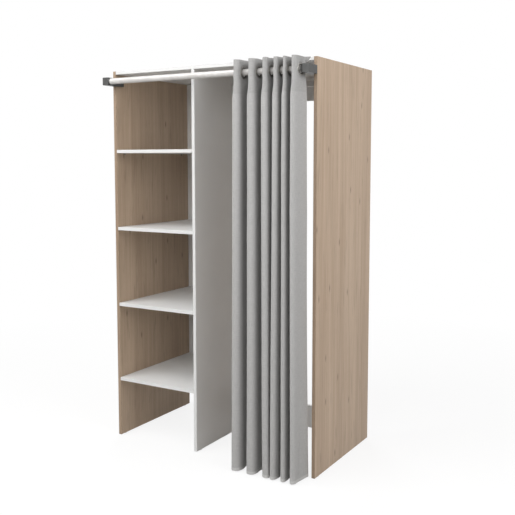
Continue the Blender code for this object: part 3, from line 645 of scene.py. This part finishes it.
grey_moulding = moulded(
    "grey_moulded_plastic", BRACKET_GREY, BRACKET_ROUGHNESS, BRACKET_GRAIN_MM, BRACKET_GRAIN_DEPTH)
rim_arc = [math.pi / 2 * step / RIM_ARC_STEPS for step in range(RIM_ARC_STEPS + 1)]
arc_out, arc_up, rim_bore = RIM_OUTER - RIM_SOFT, RIM_REACH - RIM_SOFT, ROD_RADIUS + RIM_PLAY
rim_profile = [(arc_out + RIM_SOFT * math.cos(a), arc_up + RIM_SOFT * math.sin(a)) for a in rim_arc]
rim_profile += [(rim_bore, RIM_REACH), (rim_bore, -RIM_ROOT), (RIM_OUTER, -RIM_ROOT)]
rim = turned("socket_rim", rim_profile, ROD_STEPS, closed=True)
for side_name, side in (("left", 1), ("right", -1)):
    node = f"rod_bracket_{side_name}"
    dress(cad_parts[node], grey_moulding)
    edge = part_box(node)[1 if side > 0 else 0].x
    piece(
        f"socket_rim_{side_name}", rim, grey_moulding, "cabinet",
        along((edge, ROD_Y, ROD_Z), (side, 0, 0)))


def cross_head_screw(name, length):
    """A countersunk screw with a cross recess, its head's top at local Z 0."""
    head = [(SCREW_HEAD * i / SCREW_RINGS, 0) for i in range(SCREW_RINGS + 1)]
    shank = [(SCREW_SHANK, -SCREW_TALL), (SCREW_SHANK, SCREW_SHANK - length), (0, -length)]
    made = turned(name, head + shank, SCREW_STEPS)
    for corner in made.vertices:
        u, v = sorted((abs(corner.co.x), abs(corner.co.y)))
        if corner.co.z == 0 and u < CROSS_WIDTH / 2 and v < CROSS_REACH:
            corner.co.z = -CROSS_DEEP * (1 - v / CROSS_REACH) ** 0.5
    return made


screw = cross_head_screw("bracket_screw", SCREW_LENGTH)
for node in sorted(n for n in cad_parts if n.startswith("bracket_screw")):
    low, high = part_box(node)
    side = 1 if "_left_" in node else -1
    origin = (high.x if side > 0 else low.x, (low.y + high.y) / 2, (low.z + high.z) / 2)
    piece(node + "_cross", screw, bright_steel, "cabinet", along(origin, (side, 0, 0)), [node])


# Clothes rail across the hanging space. An oval steel tube in the rod's white lacquer, laid in
# two moulded cups that are pegged to the partition and the right side.
dress(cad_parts["clothes_rail"], white_lacquer)
for name in ("rail_socket_left", "rail_socket_right"):
    dress(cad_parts[name], white_moulding)


# Eyelets. Two turned rings of gunmetal snapped together through the cloth, with domed lips
# that are polished outside, and painted shade near black in the bore.
EYELET_COUNT = 12
EYELET_BORE, EYELET_OUTER, EYELET_BARREL = 0.0165, 0.0265, 0.0205
EYELET_SLOT, EYELET_LIP = 0.0011, 0.0024
EYELET_PLAY = 0.0003
EYELET_STEPS = 72
EYELET_SHARP = math.radians(50)
LIP_STEPS = 12
LEAN = math.radians(5)
GUNMETAL, GUNMETAL_PAINTED_SHADE = "a09e99", "2b2a29"
GUNMETAL_ROUGHNESS = 0.36
GUNMETAL_ROUGHNESS_RANGE = (0.24, 0.36)
GUNMETAL_MARK_MM = 1.8
GUNMETAL_MARK_RANGE = (0.2, 0.8)
PAINTED_SHADE_LEAST_SHARE = 0.75
PAINTED_SHADE_GONE, PAINTED_SHADE_FULL = 0.0030, 0.0010

# Gunmetal plate: a grey metal whose lips catch small lights, with painted shade near black in the bore
gunmetal, tree, shader, place = new_finish("gunmetal_plate", GUNMETAL_ROUGHNESS, Metallic=1.0)
marks = put(
    tree, "ShaderNodeTexNoise", {"Scale": 1, "Detail": 3},
    {"Vector": even_space(tree, place, GUNMETAL_MARK_MM)})
from_axis = put(tree, "ShaderNodeVectorMath", {1: (1, 1, 0)}, {0: place}, operation="MULTIPLY")
off_axis = put(tree, "ShaderNodeVectorMath", None, {0: from_axis.outputs[0]}, operation="LENGTH")
# Painted shade: near black in the bore and on the lips' inner edge, a little uneven with the marks
bore_painted_shade = step_between(tree, off_axis.outputs["Value"], EYELET_BORE + PAINTED_SHADE_GONE, EYELET_BORE + PAINTED_SHADE_FULL)
shade = step_between(tree, marks.outputs[0], *GUNMETAL_MARK_RANGE, PAINTED_SHADE_LEAST_SHARE, 1)
painted_shade_share = put(tree, "ShaderNodeMath", None, {0: bore_painted_shade, 1: shade}, operation="MULTIPLY")
ring_tone = blend_colours(tree, painted_shade_share.outputs[0], GUNMETAL, GUNMETAL_PAINTED_SHADE)
tree.links.new(ring_tone, shader.inputs["Base Color"])
ring_gloss = step_between(tree, marks.outputs[0], *NOISE_SPREAD, *GUNMETAL_ROUGHNESS_RANGE)
tree.links.new(ring_gloss, shader.inputs["Roughness"])

lip_middle, lip_half = (EYELET_BORE + EYELET_OUTER) / 2, (EYELET_OUTER - EYELET_BORE) / 2
lip_turns = [math.pi * step / LIP_STEPS for step in range(LIP_STEPS + 1)]
lip = [(lip_middle + lip_half * math.cos(a), EYELET_SLOT + EYELET_LIP * math.sin(a)) for a in lip_turns]
eyelet_profile = lip + [(radius, -rise) for radius, rise in reversed(lip)]
eyelet_profile += [(EYELET_BARREL, -EYELET_SLOT), (EYELET_BARREL, EYELET_SLOT)]
eyelet_mesh = turned("eyelet", eyelet_profile, EYELET_STEPS, closed=True, sharp=EYELET_SHARP)
EYELET_Z = ROD_Z + ROD_RADIUS - EYELET_BORE + EYELET_PLAY
eyelet_x, rings = [], []
for number in range(1, EYELET_COUNT + 1):
    node = f"eyelet_{number:02d}"
    low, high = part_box(node)
    eyelet_x.append((low.x + high.x) / 2)
    turn = LEAN if number % 2 else -LEAN
    rings.append(piece(
        f"ring_{number:02d}", eyelet_mesh, gunmetal, f"hanging_fold_{number:02d}",
        along((eyelet_x[-1], ROD_Y, EYELET_Z), (math.cos(turn), math.sin(turn), 0)), [node]))


# Curtain. One width of light grey woven cloth, hung in deep folds: the top is turned over on
# a stiffener that holds the eyelets flat, and the sides and the lower edge are hemmed. It is
# drawn in panels from the middle of one eyelet's leg to the next.
CLOTH_TOP, CLOTH_BOTTOM = 1.836, 0.006
HEADING_LENGTH = 0.146
HEM_LENGTH, SIDE_HEM = 0.014, 0.014
HALF_THICK, HALF_THICK_HEADING, HALF_THICK_HEM = 0.00055, 0.00085, 0.0011
FOLD_DEPTH = 0.096
LEG_FLAT = 0.0285
BEZIER_PEAK_SHARE = 0.75
HOLE_RADIUS = 0.0218
LEG_COLUMNS, RIDGE_COLUMNS = 5, 16
NOSE_SWELLS = (
    (0.0, 0.003), (0.0, 0.003), (0.0, 0.008), (0.002, 0.010), (0.0, 0.010), (0.010, 0.0))
BELLY, BELLY_START, BELLY_FULL = 0.0045, 0.030, 0.130
LEG_DRIFT = 0.003
DRIFT_POWER = 1.4
FRONT_DRIFTS = (-0.012, -0.005, 0.008, -0.009, 0.0, 0.005)
RUMPLE, RUMPLE_LEAST_SHARE, RUMPLE_FINE_SHARE = 0.0022, 0.25, 0.35
RUMPLE_START_SHARE = 0.25
BROAD_WAVES, FINE_WAVES = (9, 9, 1.7), (34, 20, 5.5)
DEPTH_SWING, DEPTH_WAVES = 0.045, (3.7, 1.1)
NOISE_LAYER = 0.5
DISH, DISH_INNER, DISH_CREASE, DISH_OUTER = 0.0042, 0.0270, 0.0350, 0.0520
DISH_END = 0.11
TOP_WAVE, TOP_WAVES = 0.0018, 30
FLAP_PULL, FLAP_PULL_TALL, FLAP_CURL = 0.88, 0.060, 0.022
FLAP_ASIDE, FLAP_BACK, FLAP_POWER = 0.003, 0.018, 1.3
FLAP_CURL_SHARE = 0.4
FREE_SHARE = 0.45
CURL_CLEARANCE = 0.003
CURL_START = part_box("rod_bracket_right")[1].z + CURL_CLEARANCE
HEADING_STITCH, HEM_STITCH = 0.003, 0.0028
STITCH_REACH, STITCH_DRAW = 0.0006, 0.0004
HEADING_STEP_DOWN, STEP_UP, SIDE_HEM_STEP = 0.0012, 0.0006, 0.003
EDGE_ROUND, EDGE_THIN_SHARE = 0.0008, 0.55

# Rows of the cloth's mesh, from the top down. They lie close where its outline or its thickness
# changes: at the top edge, round the holes, at the heading's seam and at the hem.
TOP_ROWS = (0, EDGE_ROUND, 0.003, 0.007, 0.011, 0.015, 0.0185, 0.022)
HOLE_MARGIN_SHARES = (1.25, 1.1)
HOLE_ROWS = 20
BELOW_HOLE_ROWS = (0.031, 0.035, 0.039, 0.0425, 0.048, 0.054, 0.061, 0.069, 0.078)
SEAM_ROWS = (0.006, HEADING_STITCH, HEADING_STEP_DOWN, 0, -HEADING_STEP_DOWN, -0.004)
HEM_ROWS = (0.002, STEP_UP, -STEP_UP, -0.0016, -HEM_STITCH, -0.0040, -0.008, -0.011)
BODY_ROWS, BODY_MARGIN_TOP, BODY_MARGIN_LOW = 78, 0.012, 0.010

heading_end = CLOTH_TOP - HEADING_LENGTH
hem_top = CLOTH_BOTTOM + HEM_LENGTH
hole_turns = [math.pi * step / HOLE_ROWS for step in range(HOLE_ROWS + 1)]
first, last = heading_end - BODY_MARGIN_TOP, hem_top + BODY_MARGIN_LOW
row_heights = [CLOTH_TOP - d for d in TOP_ROWS]
row_heights += [EYELET_Z + share * HOLE_RADIUS for share in HOLE_MARGIN_SHARES]
row_heights += [EYELET_Z + HOLE_RADIUS * math.cos(a) for a in hole_turns]
row_heights += [EYELET_Z - share * HOLE_RADIUS for share in reversed(HOLE_MARGIN_SHARES)]
row_heights += [EYELET_Z - d for d in BELOW_HOLE_ROWS]
row_heights += [heading_end + d for d in SEAM_ROWS]
row_heights += [first + (last - first) * i / BODY_ROWS for i in range(BODY_ROWS + 1)]
row_heights += [hem_top + d for d in HEM_ROWS]
row_heights += [CLOTH_BOTTOM + EDGE_ROUND, CLOTH_BOTTOM]


def smooth_step(value, low, high):
    """A smooth step from 0 at low to 1 at high."""
    share = min(max((value - low) / (high - low), 0), 1)
    return share * share * (3 - 2 * share)


def ridge_drift(ridge):
    """How far a ridge wanders sideways at the hem. Odd ridges are at the front."""
    last_one = len(FRONT_DRIFTS) - 1
    pair = [FRONT_DRIFTS[min(max(i, 0), last_one)] for i in ((ridge - 1) // 2, ridge // 2)]
    return sum(pair) / 2


def leg_drift(number):
    """How far an eyelet's leg wanders at the hem, limited to LEG_DRIFT either way."""
    wanted = (ridge_drift(number - 1) + ridge_drift(number)) / 2
    return min(max(wanted, -LEG_DRIFT), LEG_DRIFT)


def leg_way(number, side):
    """The direction in which an eyelet's leg runs, seen from above; side is 1 for the front."""
    angle = (LEAN if number % 2 else -LEAN) * side
    return Vector((math.sin(angle), -side * math.cos(angle)))


class Column:
    """One upright line of the cloth: where it lies at the top seen from above, and what holds it."""

    def __init__(self, x, y, panel, share, leg=None):
        self.x, self.y, self.panel, self.share, self.leg = x, y, panel, share, leg


def leg_columns(number, side, panel, share, reach=LEG_FLAT, parts=LEG_COLUMNS):
    """Half of an eyelet's flat leg, from the eyelet's axis outwards. share says how far
    across the panel each distance lies."""
    made = []
    for step in range(parts + 1):
        away = reach * step / parts
        point = Vector((eyelet_x[number - 1], 0)) + leg_way(number, side) * away
        hold = (number, side, max(1 - away / LEG_FLAT, 0))
        made.append(Column(point.x, point.y, panel, share(away), hold))
    return made


def panel_columns(number):
    """From the axis of one eyelet over a ridge to the axis of the next. Odd ridges are in front."""
    side = 1 if number % 2 else -1
    ends = [Vector((eyelet_x[n - 1], 0)) + leg_way(n, side) * LEG_FLAT for n in (number, number + 1)]
    pull = (FOLD_DEPTH / 2 / math.cos(LEAN) - LEG_FLAT) / BEZIER_PEAK_SHARE
    bends = [end + leg_way(n, side) * pull for end, n in zip(ends, (number, number + 1))]
    if side > 0:
        left_swell, right_swell = NOSE_SWELLS[number // 2]
        bends[0].x -= left_swell
        bends[1].x += right_swell
    knots = (ends[0], bends[0], bends[1], ends[1])
    ridge = []
    for step in range(1, RIDGE_COLUMNS):
        t = step / RIDGE_COLUMNS
        weights = ((1 - t) ** 3, 3 * t * (1 - t) ** 2, 3 * t * t * (1 - t), t ** 3)
        ridge.append(sum((w * k for w, k in zip(weights, knots)), Vector((0, 0))))
    walk = [ends[0], *ridge, ends[1]]
    lengths = [(b - a).length for a, b in zip(walk, walk[1:])]
    whole = sum(lengths) + 2 * LEG_FLAT
    made = leg_columns(number, side, number, lambda away: away / whole)
    gone = LEG_FLAT
    for point, length in zip(ridge, lengths):
        gone += length
        made.append(Column(point.x, point.y, number, gone / whole))
    return made + leg_columns(number + 1, side, number, lambda away: 1 - away / whole)[::-1]


def free_columns(number, side):
    """From an eyelet's axis to the cloth's free edge, behind the first and the last eyelet."""
    reach = FOLD_DEPTH / 2 / math.cos(LEAN)
    panel = 0 if number == 1 else EYELET_COUNT
    return leg_columns(number, side, panel, lambda away: away / reach, reach, 3 * LEG_COLUMNS)


def sideways(column, fall):
    """How far the cloth has wandered along the rod at a column, and how near the column is to
    its ridge or free edge; fall is 0 at the heading and 1 at the hem."""
    if column.panel in (0, EYELET_COUNT):
        held = leg_drift(1 if column.panel == 0 else EYELET_COUNT)
        middle = smooth_step(column.share, 0, 1)
    else:
        held = leg_drift(column.panel) * (1 - column.share) + leg_drift(column.panel + 1) * column.share
        middle = math.sin(math.pi * column.share) ** 2
    return (held * (1 - middle) + ridge_drift(column.panel) * middle) * fall, middle


def pucker(column, height):
    """How far the cloth stands out to the right round the eyelets' hollows, with a crease
    above each one, dying away below the heading."""
    if 1 <= column.panel < EYELET_COUNT and column.share > 0.5:
        number = column.panel + 1
    else:
        number = max(column.panel, 1)
    away = math.hypot(column.x - eyelet_x[number - 1], column.y)
    rise = height - EYELET_Z
    outer = DISH_CREASE if rise > 0 else DISH_OUTER
    low = smooth_step(-rise, DISH_OUTER, DISH_END)
    held = 1 - column.share if column.panel == EYELET_COUNT else 1
    return DISH * smooth_step(math.hypot(away, rise), DISH_INNER, outer) * (1 - low) * held


def belly(column, height):
    """How far a fold rounds out sideways below its stiff heading. The last one stays flat on
    its right, where the free edge hangs from it."""
    share = column.share
    if column.panel == 0:
        share = -share * FREE_SHARE
    elif column.panel == EYELET_COUNT or column.panel == EYELET_COUNT - 1 and share > 0.5:
        return 0
    return -BELLY * math.sin(math.tau * share) * smooth_step(EYELET_Z - height, BELLY_START, BELLY_FULL)


def flap(column, height):
    """The free edge at the right: drawn in beside its eyelet, curled out over the bracket and
    swung out a little to the hem. Gives its way to the right and its place behind the rod."""
    if column.panel != EYELET_COUNT:
        return 0, column.y
    raised = smooth_step(height, CURL_START, CLOTH_TOP)
    curl = FLAP_CURL * smooth_step(column.share, FLAP_CURL_SHARE, 1) * raised
    near = math.exp(-((height - EYELET_Z) / FLAP_PULL_TALL) ** 2)
    fallen = 1 - (height - CLOTH_BOTTOM) / (CLOTH_TOP - CLOTH_BOTTOM)
    swing = column.share ** FLAP_POWER * fallen ** 2
    drawn_in = max(column.y - LEG_FLAT, 0) * FLAP_PULL * near
    return curl + FLAP_ASIDE * swing, column.y + FLAP_BACK * swing - drawn_in


def hanging_point(column, height):
    """A point of the cloth's middle surface, without its thickness or its holes."""
    down = min(max((heading_end - height) / (heading_end - CLOTH_BOTTOM), 0), 1)
    shift, middle = sideways(column, down ** DRIFT_POWER)
    loose = smooth_step(down, 0, RUMPLE_START_SHARE)
    x, y, z = BROAD_WAVES
    broad = Vector((column.x * x + column.panel, column.y * y, height * z))
    x, y, z = FINE_WAVES
    fine = Vector((column.x * x, column.y * y + column.panel, height * z))
    share = RUMPLE_LEAST_SHARE + (1 - RUMPLE_LEAST_SHARE) * middle
    push = RUMPLE * loose * share * (noise.noise(broad) + RUMPLE_FINE_SHARE * noise.noise(fine))
    swing_at = Vector((column.panel * DEPTH_WAVES[0], height * DEPTH_WAVES[1], NOISE_LAYER))
    deeper = 1 + DEPTH_SWING * down * noise.noise(swing_at)
    curl, behind_rod = flap(column, height)
    wave = TOP_WAVE * noise.noise(Vector((column.x * TOP_WAVES, column.y * TOP_WAVES, NOISE_LAYER)))
    wave *= smooth_step(height, EYELET_Z + DISH_CREASE, CLOTH_TOP)
    across = column.x + shift + push + pucker(column, height) + belly(column, height) + curl
    return Vector((across, ROD_Y + behind_rod * deeper, height + wave))


def half_thickness(column, height):
    """Half the cloth's thickness: doubled at its hems, stiffened at its heading, and drawn in
    along the stitches."""
    heading = smooth_step(height, heading_end - HEADING_STEP_DOWN, heading_end + STEP_UP)
    hem = smooth_step(-height, -hem_top - STEP_UP, -hem_top + STEP_UP)
    half = HALF_THICK
    half += (HALF_THICK_HEADING - HALF_THICK) * heading
    half += (HALF_THICK_HEM - HALF_THICK) * hem
    if column.panel in (0, EYELET_COUNT):
        to_edge = (1 - column.share) * FOLD_DEPTH / 2
        side_hem = smooth_step(-to_edge, -SIDE_HEM - SIDE_HEM_STEP, -SIDE_HEM)
        half = max(half, HALF_THICK + (HALF_THICK_HEM - HALF_THICK) * side_hem)
    for stitches in (heading_end + HEADING_STITCH, hem_top - HEM_STITCH):
        if abs(height - stitches) < STITCH_REACH:
            half -= STITCH_DRAW
    if height in (CLOTH_TOP, CLOTH_BOTTOM):
        half *= EDGE_THIN_SHARE
    return half


last_row = len(row_heights) - 1


def panel_skin(columns, before, after):
    """The corners of a run of columns on both faces of the cloth, and their normals. before
    and after are the columns beyond its two ends, so that neighbouring panels share their
    normals and meet without a seam."""
    line = [before or columns[0], *columns, after or columns[-1]]
    grid = [[hanging_point(column, height) for height in row_heights] for column in line]
    corners, normals = [], []
    for c, column in enumerate(columns, 1):
        for r, height in enumerate(row_heights):
            across = grid[c + 1][r] - grid[c - 1][r]
            down = grid[c][min(r + 1, last_row)] - grid[c][max(r - 1, 0)]
            normal = across.cross(down).normalized()
            point = grid[c][r].copy()
            rise = abs(height - EYELET_Z)
            if column.leg and rise < HOLE_RADIUS:
                number, side, hold = column.leg
                way = leg_way(number, side)
                point += Vector((way.x, way.y, 0)) * math.sqrt(HOLE_RADIUS ** 2 - rise ** 2) * hold
            half = half_thickness(column, height)
            corners += [point + normal * half, point - normal * half]
            normals += [normal, -normal]
    return corners, normals


def panel_faces(count):
    """The faces of a closed panel of so many columns, and how many of them lie on the cloth's
    two broad faces; these come first, and the narrow ones round its rim follow."""
    def at(c, r, face):
        """The number of the corner at a column and a row, on one face of the cloth."""
        return 2 * (c * (last_row + 1) + r) + face

    faces = []
    for c in range(count - 1):
        for r in range(last_row):
            square = ((c, r), (c + 1, r), (c + 1, r + 1), (c, r + 1))
            faces.append([at(*corner, 0) for corner in square])
            faces.append([at(*corner, 1) for corner in reversed(square)])
    soft_faces = len(faces)
    for c in range(count - 1):
        faces.append([at(c, 0, 1), at(c + 1, 0, 1), at(c + 1, 0, 0), at(c, 0, 0)])
        faces.append([
            at(c, last_row, 0), at(c + 1, last_row, 0), at(c + 1, last_row, 1), at(c, last_row, 1)])
    end = count - 1
    for r in range(last_row):
        faces.append([at(0, r, 0), at(0, r + 1, 0), at(0, r + 1, 1), at(0, r, 1)])
        faces.append([at(end, r, 1), at(end, r + 1, 1), at(end, r + 1, 0), at(end, r, 0)])
    return faces, soft_faces


def cloth_panel(name, columns, before, after):
    """The mesh of a run of columns, with its threads' coordinates in metres of cloth, and the
    width of cloth in it."""
    corners, normals = panel_skin(columns, before, after)
    faces, soft_faces = panel_faces(len(columns))
    mesh = bpy.data.meshes.new(name)
    mesh.from_pydata(corners, [], faces)
    mesh.shade_smooth()
    walked = [0]
    for here, there in zip(columns, columns[1:]):
        walked.append(walked[-1] + math.hypot(there.x - here.x, there.y - here.y))
    threads = mesh.uv_layers.new(name="threads")
    turned_to = []
    for face in mesh.polygons:
        for loop in face.loop_indices:
            corner = mesh.loops[loop].vertex_index
            c, r = divmod(corner // 2, last_row + 1)
            threads.data[loop].uv = (walked[c] + columns[0].panel * THREAD_SHIFT, row_heights[r])
            turned_to.append(normals[corner] if face.index < soft_faces else face.normal)
    mesh.normals_split_custom_set(turned_to)
    return mesh, walked[-1]


CLOTH_PALE, CLOTH_DEEP = "bab9b8", "aeadac"
HEADING_SHADE, HEM_PAINTED_HIGHLIGHT = "f6f6f6", "e2e1df"
THREAD_MM = 1.8
THREAD_DEPTH = 0.00010
THREAD_SHIFT = 0.2
SLUB_MM = (1.6, 26)
SLUB_RANGE = (0.75, 1.25)
WEAVE_SHARE = 0.05
HEADING_LINE, HEM_LINE = 0.0005, 0.0008
HEM_HIGHLIGHT_SHARE = 0.4
CLOTH_ROUGHNESS, CLOTH_IOR, CLOTH_SPECULAR = 0.92, 1.45, 0.2
CLOTH_SHEEN, CLOTH_SHEEN_ROUGHNESS = 0.12, 0.5

# Plain-woven cloth: matt, with slubs along both threads and a faint bloom where it is seen
# edge on. Such threads lie about 0.5 mm apart, too fine to show, and are drawn 1.8 mm apart.
cloth, tree, shader, place = new_finish(
    "woven_cloth", CLOTH_ROUGHNESS, IOR=CLOTH_IOR, Specular_IOR_Level=CLOTH_SPECULAR,
    Sheen_Weight=CLOTH_SHEEN, Sheen_Roughness=CLOTH_SHEEN_ROUGHNESS)
threads = put(tree, "ShaderNodeTexCoord").outputs["UV"]


def thread_space(across_mm, along_mm):
    """The cloth's own coordinates with one unit to a feature of that size."""
    scale = (1000 / across_mm, 1000 / along_mm, 1)
    return put(tree, "ShaderNodeVectorMath", {1: scale}, {0: threads}, operation="MULTIPLY").outputs[0]


turn_mm = THREAD_MM / math.tau
turns = put(tree, "ShaderNodeSeparateXYZ", None, {0: thread_space(turn_mm, turn_mm)})
warp = put(tree, "ShaderNodeMath", None, {0: turns.outputs[0]}, operation="SINE")
weft = put(tree, "ShaderNodeMath", None, {0: turns.outputs[1]}, operation="SINE")
weave = put(tree, "ShaderNodeMath", None, {0: warp.outputs[0], 1: weft.outputs[0]}, operation="MULTIPLY")
upright = put(
    tree, "ShaderNodeTexNoise", {"Scale": 1, "Detail": 2}, {"Vector": thread_space(*SLUB_MM)})
level_slubs = put(
    tree, "ShaderNodeTexNoise", {"Scale": 1, "Detail": 2}, {"Vector": thread_space(*SLUB_MM[::-1])})
slubs = put(
    tree, "ShaderNodeMath", None, {0: upright.outputs[0], 1: level_slubs.outputs[0]}, operation="ADD")
tone = put(
    tree, "ShaderNodeMath", {1: WEAVE_SHARE}, {0: weave.outputs[0], 2: slubs.outputs[0]},
    operation="MULTIPLY_ADD")
woven = blend_colours(tree, step_between(tree, tone.outputs[0], *SLUB_RANGE), CLOTH_PALE, CLOTH_DEEP)
up_cloth = put(tree, "ShaderNodeSeparateXYZ", None, {0: threads}).outputs["Y"]
doubled = step_between(tree, up_cloth, heading_end - HEADING_LINE, heading_end + HEADING_LINE)
shaded = put(
    tree, "ShaderNodeMix", {7: linear(HEADING_SHADE)}, {0: doubled, 6: woven}, data_type="RGBA",
    blend_type="MULTIPLY")
# Painted highlight: a band along the hem is lifted towards a paler colour
hemmed = step_between(tree, up_cloth, hem_top + HEM_LINE, hem_top - HEM_LINE, 0, HEM_HIGHLIGHT_SHARE)
tree.links.new(blend_colours(tree, hemmed, shaded.outputs[2], HEM_PAINTED_HIGHLIGHT), shader.inputs["Base Color"])
bump = put(tree, "ShaderNodeBump", {"Strength": 1, "Distance": THREAD_DEPTH}, {"Height": tone.outputs[0]})
tree.links.new(bump.outputs[0], shader.inputs["Normal"])

panels = [free_columns(1, -1)[::-1]]
panels += [panel_columns(number) for number in range(1, EYELET_COUNT)]
panels.append(free_columns(EYELET_COUNT, -1))
for number, columns in enumerate(panels):
    before = panels[number - 1][-2] if number else None
    after = panels[number + 1][1] if number < EYELET_COUNT else None
    name = f"curtain_panel_{number:02d}"
    mesh, width = cloth_panel(name, columns, before, after)
    mesh.materials.append(cloth)
    panel = bpy.data.objects.new(name, mesh)
    scene.collection.objects.link(panel)
    held_by = [n for n in (number, number + 1) if 1 <= n <= EYELET_COUNT]
    bodies = [f"hanging_fold_{n:02d}" for n in held_by]
    if len(bodies) == 1:
        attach(panel, bodies[0])
    else:
        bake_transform(panel)
    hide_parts(*[f"curtain_fold_{n:02d}" for n in held_by])
